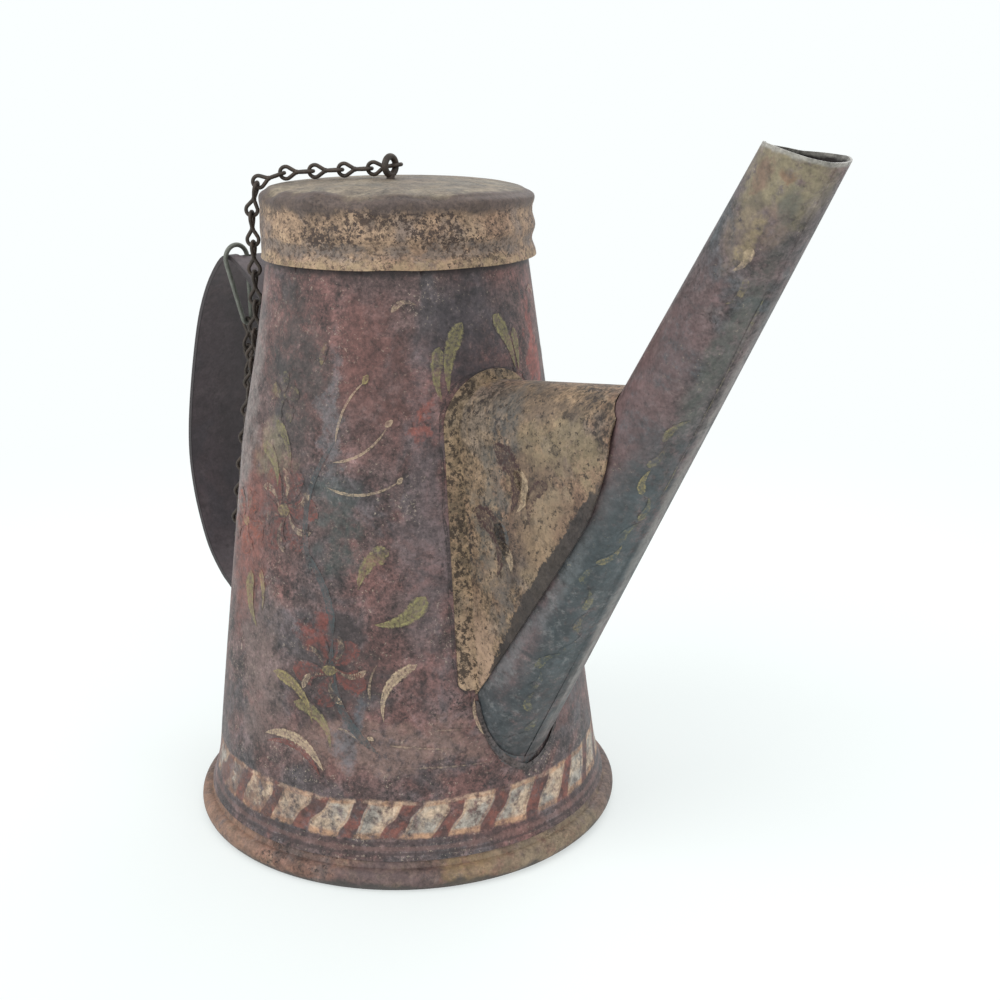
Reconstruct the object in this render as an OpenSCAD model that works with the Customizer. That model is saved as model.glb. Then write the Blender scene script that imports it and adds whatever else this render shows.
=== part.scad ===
/* [Body] */
// Outer radius of the body cone where it meets the lid
neck_r = 43.9; // [38:0.1:50]
// Height at which the neck radius is measured, level with the lower edge of the lid
neck_z = 197.8; // [190:0.1:230]
// Growth of the body radius for each millimetre down
body_taper = 0.1414; // [0.11:0.0002:0.15]
// Thickness of the tinned sheet of body, foot, lid and spout
sheet = 0.6; // [0.5:0.05:0.8]
// Height of the seam between body and foot rim
seam_z = 9.2; // [8.6:0.1:10]
// Height below which the body flares outwards
flare_z = 22; // [18:0.5:30]
// How far the flare stands out at the seam
flare_out = 1.6; // [0.8:0.1:2.4]
// Width of the side seam on the far side of the body
side_seam_w = 5; // [3:0.5:8]
// Direction of the side seam, counted from the spout
side_seam_turn = 120; // [90:1:150]

/* [Foot] */
// Radius of the rolled bead at the foot
bead_r = 3.5; // [3:0.1:3.9]
// How far the bead is worn flat underneath
bead_wear = 0.15; // [0.1:0.05:0.4]
// How far the middle of the bead lies outside the seam
bead_out = 0.5; // [0:0.1:1]
// Height of the upright flange inside the foot of the body
foot_flange_h = 7; // [5:0.5:9]
// Height of the rim turned up round the bottom plate
bottom_rim_h = 4; // [3:0.5:5]

/* [Neck and lid] */
// How far the collar that the lid slips over stands out from the neck radius
collar_step = 0.5; // [0.4:0.05:0.7]
// Height of the top of the collar above the lower edge of the lid
collar_h = 15.2; // [12:0.1:15.4]
// Radius of the roll round the top of the collar
collar_roll_r = 0.9; // [0.7:0.05:1.1]
// Free space round the collar inside the narrowest part of the lid
lid_fit = 0.25; // [0.1:0.05:0.5]
// How far the lip of the lid stands out from its groove
lip_out = 1.5; // [1:0.1:2]
// How far the bead of the lid stands out from its groove
lid_bead_out = 1.1; // [0.6:0.1:1.5]
// Height of the shoulder above the lower edge of the lid
shoulder_h = 19.6; // [19:0.1:22]
// Height of the edge of the flat top above the shoulder
shoulder_rise = 3.1; // [2.6:0.1:3.6]
// Rise of the dome from its edge to the middle
dome_rise = 2; // [1:0.1:3]
// How far the lid lifts, which takes it clear of the collar
lid_travel = 16; // [15.8:0.1:17]

/* [Lid eye] */
// Radius of the ring of the eye, to the middle of its wire
eye_r = 2.9; // [2.6:0.1:3.2]
// Radius of the wire of the eye
eye_wire_r = 1.1; // [0.9:0.05:1.1]
// Direction from the chain's hold on the ring to the middle of the ring
eye_turn = 286; // [270:1:300]
// Length of each leg bent over under the lid
eye_leg = 6; // [4:0.5:9]
// Distance from the chain's hold on the ring to the groove of the lid
eye_reach = 45.25; // [45:0.05:45.5]

/* [Spout] */
// Lean of the spout from upright
spout_lean = 31.1; // [28:0.1:34]
// Height at which the spout axis enters the body
spout_z = 64.5; // [62:0.5:68]
// Length of the spout axis from the body to the mouth
spout_len = 202.3; // [180:0.1:220]
// Radius of the spout where its axis enters the body
spout_root_r = 17.1; // [16.2:0.1:17.3]
// Radius of the spout at its mouth
spout_mouth_r = 10.7; // [9:0.1:12]
// Slope of the cut across the mouth, falling away from the body
mouth_slope = 11.3; // [0:0.1:20]
// Slope of the same cut towards the far side
mouth_tilt = 4.8; // [0:0.1:10]
// Width of the lap seam along the underside of the spout
spout_seam_w = 4; // [3:0.5:6]
// Width of the solder run round the foot of the spout
solder_w = 0.9; // [0.6:0.1:2]

/* [Brace] */
// Half width of the saddle where its arch begins
saddle_half_w = 15.2; // [14.9:0.1:15.6]
// Height of the top of the saddle at the body
saddle_top_z = 161; // [156:0.5:164]
// Rise of the saddle towards the spout
saddle_rise = 7; // [4:0.5:9]
// Height of the lower tips of the flange
flange_foot_z = 63.8; // [63:0.2:68]
// Width of the flange round the arch
flange_w = 4.6; // [3.6:0.1:5.4]
// Half width of the flange at its lower tips
flange_foot_half_w = 23.4; // [22.6:0.1:24]
// Free space between saddle and spout
saddle_gap = 0.3; // [0.2:0.05:0.5]

/* [Handle] */
// Turn of the handle away from the line of the spout
handle_turn = 187; // [184:0.5:190]
// Width of the strap
strap_w = 31; // [29:0.5:33]
// Thickness of the strap
strap_t = 0.9; // [0.7:0.05:1.1]
// Width of the folded edges of the strap
hem_w = 4.2; // [3:0.1:5]
// Distance of the crest from the neck of the body
crest_out = 28.4; // [27.5:0.1:30]
// Height of the crest
crest_z = 191.8; // [190.6:0.2:193]
// Distance of the widest part of the bow from the neck of the body
bow_out = 59.3; // [55:0.1:64]
// Height of the widest part of the bow
bow_z = 108; // [100:1:116]
// Height of the upper seat on the body
handle_top_z = 172; // [168:0.5:176]
// Height of the lower seat on the body
handle_foot_z = 47; // [42:0.5:54]
// Height of the tabs soldered to the body
tab_h = 12; // [9:0.5:14]

/* [Chain] */
// Distance from one link to the next
pitch = 10; // [9.8:0.05:10.2]
// Radius of the wire of the chain
wire_r = 0.65; // [0.55:0.01:0.66]
// Radius of a loop, to the middle of its wire
loop_r = 2; // [1.95:0.01:2.1]
// Free space between linked wires
link_play = 0.1; // [0.08:0.01:0.12]
// Links between the hook and the bend
hook_links = 6; // [6:1:6]
// Lean of the links below the hook towards the lid side
hook_side_lean = 3; // [1:0.5:5]
// Turn from each link of the bend to the next
bend_step = 36; // [35:0.5:37]
// Radius of the wire of the hook
hook_wire_r = 0.85; // [0.75:0.01:0.9]
// Lean of the hook under the strap, away from its edge
hook_tilt = 9; // [0:0.5:12]
// Radius of the top of the hook, to the middle of its wire
hook_top_r = 4.9; // [4.8:0.05:5.1]
// Free space between the hook and the edge of the strap
hook_gap = 0.35; // [0.25:0.05:0.5]
// Radius of the hole in the strap
hook_hole_r = 1.5; // [1.4:0.05:1.6]

/* [Hidden] */
// A node for each link of the chain, counted from the hook to the lid
LINK_NODES = [
    "chain_link_01", "chain_link_02", "chain_link_03", "chain_link_04", "chain_link_05",
    "chain_link_06", "chain_link_07", "chain_link_08", "chain_link_09", "chain_link_10",
    "chain_link_11", "chain_link_12", "chain_link_13", "chain_link_14", "chain_link_15",
    "chain_link_16", "chain_link_17", "chain_link_18", "chain_link_19", "chain_link_20",
    "chain_link_21", "chain_link_22", "chain_link_23", "chain_link_24", "chain_link_25",
    "chain_link_26", "chain_link_27", "chain_link_28"
];
$fn = 48;

// Soldered faces lie this far apart
seat = 0.05;
// Longer than anything it has to cut through
far = 400;

// Outer radius of the body at a height
function cone_r(z) = neck_r + body_taper * (neck_z - z);
function flare(z) = z < flare_z ? flare_out * pow((flare_z - z) / (flare_z - seam_z), 2) : 0;
function body_r(z) = cone_r(z) + flare(z);
function rise(from, to, steps) = [for (i = [0 : steps]) from + (to - from) * i / steps];
function backwards(list) = [for (i = [len(list) - 1 : -1 : 0]) list[i]];

// A band that follows the body wall, between two depths below its outer face
function wall_band(zs, outer, inner) = concat(
    [for (z = zs) [body_r(z) - outer, z]],
    [for (z = backwards(zs)) [body_r(z) - inner, z]]
);

// Points of a smooth line through given points
function bend_at(a, b, c, d, t) = 0.5 * (
    2 * b + (c - a) * t + (2 * a - 5 * b + 4 * c - d) * t * t + (3 * b - a - 3 * c + d) * t * t * t
);
function smooth(p, steps) = concat(
    [for (i = [0 : len(p) - 2], k = [0 : steps - 1])
        bend_at(p[max(i - 1, 0)], p[i], p[i + 1], p[min(i + 2, len(p) - 1)], k / steps)],
    [p[len(p) - 1]]
);
function unit(v) = v / norm(v);
function left_of(v) = [-v[1], v[0]];
// The same line moved sideways, to its left where the distance is positive
function beside(p, d) = [
    for (i = [0 : len(p) - 1])
        p[i] + d * left_of(unit(p[min(i + 1, len(p) - 1)] - p[max(i - 1, 0)]))
];
function sheet_band(p, t) = concat(p, backwards(beside(p, t)));
function heading(a) = [cos(a), sin(a), 0];

// Body
top_z = neck_z + 3.4;
body_heights = concat(rise(seam_z, flare_z, 8), [top_z]);

// Neck and lid
collar_r = neck_r + collar_step;
collar_foot_z = neck_z + (neck_r - (collar_r - sheet) + 2 * seat) / body_taper;
collar_top_z = neck_z + collar_h;
groove_r = collar_r + lid_fit + sheet;
// Height of the seam between skirt and top
top_seam_z = neck_z + 0.842 * shoulder_h;
// The skirt from its lip up over groove, bead and plain band to the shoulder
skirt_line = smooth([
    [groove_r + lip_out, neck_z],
    [groove_r + 0.75 * lip_out, neck_z + 0.097 * shoulder_h],
    [groove_r, neck_z + 0.275 * shoulder_h],
    [groove_r + lid_bead_out, neck_z + 0.49 * shoulder_h],
    [groove_r + 0.15, neck_z + 0.694 * shoulder_h],
    [groove_r + 0.15, top_seam_z - 0.1]
], 4);
shoulder_z = neck_z + shoulder_h;
// The top from the shoulder's edge over the shoulder to the middle of the dome
top_line = smooth([
    [groove_r + 0.35, top_seam_z],
    [groove_r + 0.95, shoulder_z - 0.6],
    [groove_r + 0.5, shoulder_z + 0.9],
    [groove_r - 1.4, shoulder_z + 2],
    [groove_r - 4.1, shoulder_z + shoulder_rise],
    [groove_r * 0.62, shoulder_z + shoulder_rise + 0.62 * dome_rise],
    [groove_r * 0.3, shoulder_z + shoulder_rise + 0.92 * dome_rise],
    [0, shoulder_z + shoulder_rise + dome_rise]
], 3);
dome_z = shoulder_z + shoulder_rise + dome_rise;

// Lid eye
eye_x = groove_r - eye_reach;
eye_hold_z = dome_z + eye_r + eye_wire_r + 0.2;
shank_r = 1.4;
shank_fit = 0.15;

// Spout
spout_x = cone_r(spout_z);
spout_taper = (spout_root_r - spout_mouth_r) / spout_len;
spout_below = 45;
spout_above = 8;

// Brace
saddle_splay = 4.2;
saddle_foot_z = 20;
brace_reach = spout_len;
flange_top_z = saddle_top_z + flange_w;
flange_half_w = saddle_half_w + flange_w - 0.6;
flange_tip_r = 3;

// Handle, hook and chain
crest_x = neck_r + crest_out;
bow_x = neck_r + bow_out;
link_len = pitch + 2 * wire_r + link_play;
loop_slack = loop_r - (link_len - pitch);
handle_out = heading(handle_turn);
handle_side = heading(handle_turn + 90);
hook_across = strap_w / 2 + hook_gap + hook_wire_r - hook_top_r;
hook_at = crest_x * handle_out + hook_across * handle_side;
hook_top_z = crest_z - 0.5;
hook_loop_r = 1.9;

// How far each of the first links on the lid side leans down from level: across the lid, over its
// shoulder and down past its lip
lid_falls = [8, 2.5, 3, 3.5, 18.5, 76, 90, 90, 89.5];
wall_fall = 90 - atan(body_taper);
lid_links = 17;
bend_links = 5;
function lid_fall(i) = i < len(lid_falls) ? lid_falls[i] : (i == len(lid_falls) ? 85 : wall_fall);
// Distance out from the axis and height of the start of each lid side link
eye_clear = wire_r + eye_wire_r + link_play;
function lid_step(i) = i == 0
    ? [eye_x - eye_clear * cos(lid_fall(0)), eye_hold_z + eye_clear * sin(lid_fall(0))]
    : lid_step(i - 1) + pitch * [cos(lid_fall(i - 1)), -sin(lid_fall(i - 1))];
lid_end = lid_step(lid_links) + (link_len - pitch) * [cos(lid_fall(lid_links)), -sin(lid_fall(lid_links))];

// The bend swings up by as much as the lid lifts
function bend_sum(turn) = [
    for (i = 1, s = pitch * [sin(turn), -cos(turn)]; i <= bend_links; i = i + 1,
        s = s + pitch * [sin(turn + bend_step * (i - 1)), -cos(turn + bend_step * (i - 1))]) s
][bend_links - 1];
bend_reach = norm(bend_sum(0));
bend_half_swing = asin(lid_travel / 2 / bend_reach);
bend_first = (180 - bend_step * (bend_links - 1)) / 2 - bend_half_swing;
bend_last = bend_first + bend_step * (bend_links - 1);
// Middle of the last loop of the bend at rest and half way up
loop_rest = bend_sum(bend_first) - loop_slack * [sin(bend_last), -cos(bend_last)];
loop_mid = bend_sum(bend_first + bend_half_swing)
    - loop_slack * [sin(bend_last + bend_half_swing), -cos(bend_last + bend_half_swing)];
open_pivot = [(loop_rest[0] + loop_mid[0]) / 2, loop_rest[1] - 0.05];
// The hook reaches down to the strand that hangs between it and the bend
hook_drop_z = lid_end[1] - open_pivot[1] + hook_links * pitch * cos(hook_side_lean);
hook_foot_z = hook_drop_z - wire_r - hook_wire_r - link_play;
hook_drop = (hook_top_z - hook_foot_z - hook_loop_r) / cos(hook_tilt);
hook_foot_at = hook_at - hook_drop * sin(hook_tilt) * handle_side;
hook_far = norm(hook_foot_at);
// Where the strand below the hook and the strand down the wall hang
hook_run = hook_links * pitch * sin(hook_side_lean);
strand_gap = open_pivot[0] + hook_run;
strand_turn = atan2(hook_foot_at[1], hook_foot_at[0]) + 360
    + acos((pow(hook_far, 2) + pow(lid_end[0], 2) - pow(strand_gap, 2)) / (2 * hook_far * lid_end[0]));
lid_end_at = lid_end[0] * heading(strand_turn);
eye_at = eye_x * heading(strand_turn) + eye_r * heading(eye_turn);
bend_out = unit(lid_end_at - hook_foot_at);
bend_turn = atan2(bend_out[1], bend_out[0]);
bend_pivot = lid_end_at - open_pivot[0] * bend_out + [0, 0, lid_end[1] - open_pivot[1]];
hook_twist = bend_turn - handle_turn + 270;

module body_solid(gap) {
    rotate_extrude($fn = 96)
        polygon(concat(
            [[0, -1], [body_r(seam_z) + gap, -1]],
            [for (z = body_heights) [body_r(z) + gap, z]],
            [[cone_r(top_z + 60) + gap, top_z + 60], [0, top_z + 60]]
        ));
}

module body_patch(from, to, inner, outer) {
    rotate_extrude($fn = 96)
        polygon(wall_band([from, to], -outer, -inner));
}

// Draws along the spout axis, with height 0 where it enters the body
module on_spout() {
    translate([spout_x, 0, spout_z]) rotate([0, spout_lean, 0]) children();
}

module spout_cone(grow) {
    on_spout()
        translate([0, 0, -spout_below])
            cylinder(
                h = spout_below + spout_len + spout_above,
                r1 = spout_root_r + grow + spout_taper * spout_below,
                r2 = spout_mouth_r + grow - spout_taper * spout_above,
                $fn = 96
            );
}

// Body wall, rolled from one sheet, with its side seam and the hole into the spout
module body_shell() {
    color("#6b5150") {
        difference() {
            union() {
                rotate_extrude($fn = 96) polygon(wall_band(body_heights, 0, sheet));
                rotate([0, 0, side_seam_turn])
                    rotate_extrude(angle = side_seam_w / body_r(seam_z) * 180 / PI, $fn = 96)
                        polygon(wall_band([flare_z + 1, collar_foot_z - 2], -sheet, sheet / 2));
            }
            spout_cone(-sheet - seat);
        }
    }
}

// Foot rim: a rolled bead, flat underneath, with a flange up inside the body
module foot_ring() {
    bead_x = body_r(seam_z) + bead_out;
    bead_z = bead_r - bead_wear;
    flange = rise(seam_z - 3.6, seam_z + foot_flange_h, 6);
    color("#6b5a4e") {
        difference() {
            rotate_extrude($fn = 96) {
                difference() {
                    translate([bead_x, bead_z]) circle(bead_r);
                    translate([bead_x, bead_z]) circle(bead_r - sheet);
                    translate([0, -far]) square(far);
                }
                difference() {
                    polygon(wall_band(flange, sheet + seat, 2 * sheet + seat));
                    translate([bead_x, bead_z]) circle(bead_r - sheet / 2);
                }
                difference() {
                    translate([bead_x - 1.6, 0]) square([3.2, sheet]);
                    translate([bead_x, bead_z]) circle(bead_r - sheet);
                }
            }
        }
    }
}

// Bottom plate, set up inside the foot, with its rim turned up against the flange
module bottom_plate() {
    inner = 2 * (sheet + seat);
    rim = rise(seam_z, seam_z + bottom_rim_h, 3);
    color("#5b5450") {
        rotate_extrude($fn = 96) {
            polygon(concat(
                [[0, seam_z], [body_r(seam_z) - inner, seam_z]],
                [for (z = rim) [body_r(z) - inner, z]],
                [for (z = backwards(rim)) if (z > seam_z + sheet) [body_r(z) - inner - sheet, z]],
                [[body_r(seam_z) - inner - sheet, seam_z + sheet], [0, seam_z + sheet]]
            ));
        }
    }
}

// Straight collar soldered round the top of the body, rolled in at its rim
module neck_collar() {
    roll_x = collar_r - collar_roll_r;
    color("#5f5653") {
        rotate_extrude($fn = 96) {
            translate([collar_r - sheet, collar_foot_z])
                square([sheet, collar_top_z - collar_roll_r - collar_foot_z]);
            difference() {
                translate([roll_x, collar_top_z - collar_roll_r]) circle(collar_roll_r);
                translate([roll_x, collar_top_z - collar_roll_r]) circle(collar_roll_r - sheet / 2);
                translate([0, collar_top_z - 2 * collar_roll_r - 1])
                    square([roll_x, collar_roll_r + 1]);
            }
        }
    }
}

// Lid skirt: lip, groove, bead and plain band
module lid_skirt() {
    color("#a8906f") rotate_extrude($fn = 96) polygon(sheet_band(skirt_line, sheet));
}

// Lid top: dome and shoulder over the skirt, with a flange inside that rests on the collar
module lid_top() {
    flange_r = groove_r + 0.15 - sheet - seat;
    flange_foot_z = collar_top_z + 2 * seat;
    color("#8d857c") {
        difference() {
            rotate_extrude($fn = 96) {
                intersection() {
                    polygon(sheet_band(top_line, sheet));
                    square(far);
                }
                translate([flange_r - sheet, flange_foot_z])
                    square([sheet, shoulder_z + 1.2 - flange_foot_z]);
                translate([collar_r - 2 * collar_roll_r, flange_foot_z])
                    square([flange_r - collar_r + 2 * collar_roll_r, sheet]);
            }
            translate(eye_at + [0, 0, dome_z - 6])
                cylinder(h = 12, r = shank_r + shank_fit);
        }
    }
}

// Eye: a ring of stout wire with a shank through the lid and two legs bent over underneath
module lid_eye() {
    centre = eye_at;
    leg_r = 0.8;
    under_z = dome_z - sheet - leg_r - 0.35;
    color("#4a4a48") {
        translate(centre + [0, 0, eye_hold_z])
            rotate([0, 0, eye_turn])
                rotate([90, 0, 0])
                    rotate_extrude() translate([eye_r, 0]) circle(eye_wire_r);
        translate(centre + [0, 0, under_z])
            cylinder(h = eye_hold_z - eye_r - under_z, r = shank_r);
        for (side = [-1, 1]) {
            translate(centre + [0, 0, under_z])
                rotate([0, 0, eye_turn])
                    rotate([90, 0, 90 + 90 * side])
                        rotate([0, 90, 0]) cylinder(h = eye_leg, r = leg_r);
        }
    }
}

// Tapered spout, open at both ends, mitred to the body and cut off at the mouth
module spout_tube() {
    color("#4c4a4c") {
        difference() {
            union() {
                spout_cone(0);
                intersection() {
                    spout_cone(sheet / 2);
                    on_spout()
                        translate([0, -spout_seam_w / 2, -spout_below])
                            cube([far, spout_seam_w, far]);
                }
            }
            spout_cone(-sheet);
            body_solid(seat);
            translate([spout_x + spout_len * sin(spout_lean), 0, spout_z + spout_len * cos(spout_lean)])
                rotate([-mouth_tilt, mouth_slope, 0])
                    translate([-far / 2, -far / 2, 0]) cube(far);
        }
    }
}

// Solder run round the lower half of the spout's foot
module spout_solder() {
    color("#6a6763") {
        difference() {
            intersection() {
                body_patch(24, flange_foot_z - 4, seat, solder_w);
                spout_cone(solder_w + sheet / 2);
                translate([0, -far / 2, 0]) cube([far, far, flange_foot_z - 4]);
            }
            spout_cone(sheet / 2 + seat);
        }
    }
}

// Arch outline of saddle or flange, seen along the spout plane's level direction
module arch(top, half_w, foot_z, foot_half_w) {
    union() {
        translate([0, top - half_w]) circle(half_w, $fn = 96);
        polygon([
            [-half_w, top - half_w], [-foot_half_w, foot_z],
            [foot_half_w, foot_z], [half_w, top - half_w]
        ]);
    }
}

// Places a flat outline upright across the spout plane and draws it outwards
module outwards(length) {
    rotate([90, 0, 90]) linear_extrude(length) children();
}

// Draws an outline outwards from the body along the rise of the saddle
module along_saddle() {
    rotate([0, -saddle_rise, 0])
        translate([0, 0, -cone_r(saddle_top_z) * sin(saddle_rise)])
            outwards(brace_reach) children();
}

// Brace: a saddle from body to spout, with a flange soldered to the body
module spout_brace() {
    color("#a38f78") {
        difference() {
            union() {
                intersection() {
                    along_saddle() arch(saddle_top_z, saddle_half_w, saddle_foot_z, saddle_half_w + saddle_splay);
                    saddle_side();
                }
                intersection() {
                    body_patch(flange_foot_z - 10, flange_top_z + 4, -sheet, seat + sheet);
                    outwards(brace_reach) flange_outline();
                }
            }
            along_saddle()
                arch(
                    saddle_top_z - sheet, saddle_half_w - sheet,
                    19, saddle_half_w + saddle_splay - sheet
                );
            body_solid(seat);
            spout_cone(saddle_gap);
        }
    }
}

// Outline of the flange on the body, round at its two lower tips
module flange_outline() {
    tip_x = flange_foot_half_w - flange_tip_r;
    tip_z = flange_foot_z + flange_tip_r;
    intersection() {
        arch(flange_top_z, flange_half_w, flange_foot_z, flange_foot_half_w);
        union() {
            translate([-far / 2, tip_z]) square(far);
            translate([-tip_x, flange_foot_z]) square([2 * tip_x, 2 * flange_tip_r]);
            for (side = [-1, 1]) {
                translate([side * tip_x, tip_z]) circle(flange_tip_r);
            }
        }
    }
}

// Side view of the saddle: from the body to a free edge that follows the spout
module saddle_side() {
    lean = spout_lean;
    // A point beside the spout axis, at a distance along it and out from it
    function along(s, out) = [
        spout_x + s * sin(lean) + out * cos(lean),
        spout_z + s * cos(lean) - out * sin(lean)
    ];
    free_edge = smooth([
        along(-8, -1), along(16, 1), along(46, 3), along(76, 4.6),
        along(88, 3.6), along(100, 0.6), along(112, -5), along(124, -12)
    ], 4);
    rotate([90, 0, 0])
        translate([0, 0, -far / 2])
            linear_extrude(far)
                polygon(concat([[20, flange_foot_z - 6]], free_edge, [[20, saddle_top_z + 40]]));
}

// Line of the strap seen from the side, from its upper seat over the crest to its lower seat
strap_line = smooth([
    [cone_r(handle_top_z) - 4, handle_top_z - 3],
    [cone_r(handle_top_z) + 1, handle_top_z + 0.6],
    [crest_x - 12, crest_z - 7.6],
    [crest_x - 4, crest_z - 1.4],
    [crest_x + 0.9, crest_z + 0.3],
    [crest_x + 6, crest_z - 2.3],
    [crest_x + 13.5, crest_z - 11.5],
    [crest_x + 19.8, crest_z - 24.2],
    [bow_x - 5.8, bow_z + 41.9],
    [bow_x - 1.6, bow_z + 23],
    [bow_x + 0.2, bow_z + 8],
    [bow_x - 0.4, bow_z - 4.3],
    [bow_x - 3, bow_z - 17],
    [bow_x - 8.2, bow_z - 31],
    [bow_x - 15.5, bow_z - 40.7],
    [cone_r(handle_foot_z) + 16, handle_foot_z + 15],
    [cone_r(handle_foot_z) + 1, handle_foot_z + 1],
    [cone_r(handle_foot_z) - 4, handle_foot_z - 3]
], 4);

module strap_slice(from, to, line, t) {
    translate([0, to, 0]) rotate([90, 0, 0]) linear_extrude(to - from) polygon(sheet_band(line, t));
}

// Handle strap with folded edges, tabs for its seats and the hole for the hook
module handle_strap() {
    half = strap_w / 2;
    color("#453f3f") {
        difference() {
            rotate([0, 0, handle_turn]) {
                strap_slice(-half, half, strap_line, -strap_t);
                for (edge = [-half, half - hem_w]) {
                    strap_slice(edge, edge + hem_w, beside(strap_line, -strap_t / 2), 1.3 * strap_t);
                }
                for (z = [handle_top_z - tab_h, handle_foot_z]) {
                    intersection() {
                        body_patch(z, z + tab_h, -strap_t, seat + strap_t);
                        translate([0, -half, 0]) cube([far, strap_w, far]);
                    }
                }
            }
            body_solid(seat);
            translate(crest_x * handle_out + (hook_across - hook_top_r) * handle_side + [0, 0, crest_z - 12])
                cylinder(h = 20, r = hook_hole_r);
        }
    }
}

// A closed loop of wire round two ends of different radius, hanging down from the origin
module wire_drop(top_r, foot_r, drop, r) {
    slant = asin((top_r - foot_r) / drop);
    rotate([0, 0, -slant])
        rotate_extrude(angle = 180 + 2 * slant) translate([top_r, 0]) circle(r);
    translate([0, -drop, 0])
        rotate([0, 0, 180 + slant])
            rotate_extrude(angle = 180 - 2 * slant) translate([foot_r, 0]) circle(r);
    for (side = [-1, 1]) {
        translate([side * foot_r * cos(slant), -drop - foot_r * sin(slant), 0])
            rotate([0, 0, -side * slant])
                rotate([-90, 0, 0])
                    translate([0, 0, -0.1])
                        cylinder(h = drop * cos(slant) + 0.2, r = r * 1.02);
    }
}

// Hook: a long loop of wire through the strap, round its near edge
module chain_hook() {
    color("#7d7f78") {
        translate(hook_at + [0, 0, hook_top_z])
            rotate([0, 0, handle_turn + 90])
                rotate([90, 0, 0])
                    rotate([0, 0, -hook_tilt])
                        wire_drop(hook_top_r, hook_loop_r, hook_drop, hook_wire_r);
    }
}

// One loop of a link, from its far end at height 0 to the waist above it
module link_loop() {
    to_waist = link_len / 2 - loop_r;
    slant = asin(loop_r / to_waist);
    translate([0, 0, loop_r]) {
        rotate([90, 0, 0])
            rotate([0, 0, 180 - slant])
                rotate_extrude(angle = 180 + 2 * slant, $fn = 32) translate([loop_r, 0]) circle(wire_r);
        for (side = [-1, 1]) {
            translate([side * loop_r * cos(slant), 0, loop_r * sin(slant)])
                rotate([0, -side * slant, 0])
                    cylinder(h = sqrt(pow(to_waist, 2) - pow(loop_r, 2)), r = wire_r * 1.03, $fn = 32);
        }
    }
}

// A link: one wire bent into two loops at right angles, crossed at the waist
module link_at(start, turn, fall, roll = 0) {
    color("#4a4a48") {
        translate(start)
            rotate([0, 90 + fall, turn])
                rotate([0, 0, roll]) {
                    rotate([0, 0, 90]) link_loop();
                    translate([0, 0, link_len]) rotate([180, 0, 0]) link_loop();
                    translate([0, 0, link_len / 2]) sphere(wire_r * 1.35, $fn = 32);
                }
    }
}

// Links are counted from the hook: the strand below it, the bend, then the lid side upwards
module chain_link(n) {
    if (n <= hook_links) {
        i = n - 1;
        run = pitch * i * sin(hook_side_lean);
        start = hook_foot_at + [0, 0, hook_drop_z - pitch * i * cos(hook_side_lean)] + run * bend_out;
        link_at(start, bend_turn, 90 - hook_side_lean, hook_twist * (1 - i / hook_links));
    } else if (n <= hook_links + bend_links) {
        i = n - hook_links;
        along = i == 1 ? [0, 0] : bend_part(i - 1);
        link_at(
            bend_pivot + along[0] * bend_out + [0, 0, along[1]],
            bend_turn, 90 - bend_first - bend_step * (i - 1)
        );
    } else {
        i = hook_links + bend_links + lid_links - n;
        at = lid_step(i);
        link_at(at[0] * heading(strand_turn) + [0, 0, at[1]], strand_turn, lid_fall(i));
    }
}

// Place of the end of a number of links of the bend, from its pivot
function bend_part(count) = count == 0 ? [0, 0] : bend_part(count - 1)
    + pitch * [sin(bend_first + bend_step * (count - 1)), -cos(bend_first + bend_step * (count - 1))];

body_shell();
foot_ring();
bottom_plate();
neck_collar();
lid_skirt();
lid_top();
lid_eye();
spout_tube();
spout_solder();
spout_brace();
handle_strap();
chain_hook();
for (n = [1 : len(LINK_NODES)]) {
    chain_link(n);
}
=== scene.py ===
"""Looks of an old painted tin lamp: can, slip lid, chain, braced spout and strap handle."""
import math

import bmesh
import bpy
import numpy as np
from mathutils import Matrix, Vector


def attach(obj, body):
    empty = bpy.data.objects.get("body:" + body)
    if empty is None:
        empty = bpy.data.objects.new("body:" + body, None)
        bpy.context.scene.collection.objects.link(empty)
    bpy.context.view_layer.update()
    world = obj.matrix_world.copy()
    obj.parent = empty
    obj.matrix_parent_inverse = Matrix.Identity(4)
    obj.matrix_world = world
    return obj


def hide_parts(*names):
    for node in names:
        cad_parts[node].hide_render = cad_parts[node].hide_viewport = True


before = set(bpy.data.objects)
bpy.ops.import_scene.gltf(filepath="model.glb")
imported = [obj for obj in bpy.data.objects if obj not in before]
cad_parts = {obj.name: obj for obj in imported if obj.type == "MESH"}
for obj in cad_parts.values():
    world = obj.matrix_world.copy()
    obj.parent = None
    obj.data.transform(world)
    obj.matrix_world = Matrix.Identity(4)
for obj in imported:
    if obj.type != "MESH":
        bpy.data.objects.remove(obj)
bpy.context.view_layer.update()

MM = 0.001
TAU = 2 * math.pi

# The can's own measures, as its CAD solids have them
NECK_R = 43.9
NECK_Z = 197.8
TAPER = 0.1414
SEAM_Z = 9.2
FLARE_Z = 22.0
FLARE_OUT = 1.6
SPOUT_ROOT = Vector((62.75, 0, 64.5))
SPOUT_LEAN = math.radians(31.1)
SPOUT_LEN = 202.3
SPOUT_ROOT_R = 17.1
SPOUT_MOUTH_R = 10.7
HANDLE_SIDE = math.radians(277)
# Up the spout's axis, across it in the lamp's middle plane, and square to both
SPOUT_AXIS = Vector((math.sin(SPOUT_LEAN), 0, math.cos(SPOUT_LEAN)))
SPOUT_ACROSS = Vector((math.cos(SPOUT_LEAN), 0, -math.sin(SPOUT_LEAN)))
SIDEWAYS = Vector((0, 1, 0))


def can_r(z):
    """Outer radius of the can at a height, in mm."""
    flare = FLARE_OUT * ((FLARE_Z - z) / (FLARE_Z - SEAM_Z)) ** 2 if z < FLARE_Z else 0
    return NECK_R + TAPER * (NECK_Z - z) + flare


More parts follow.
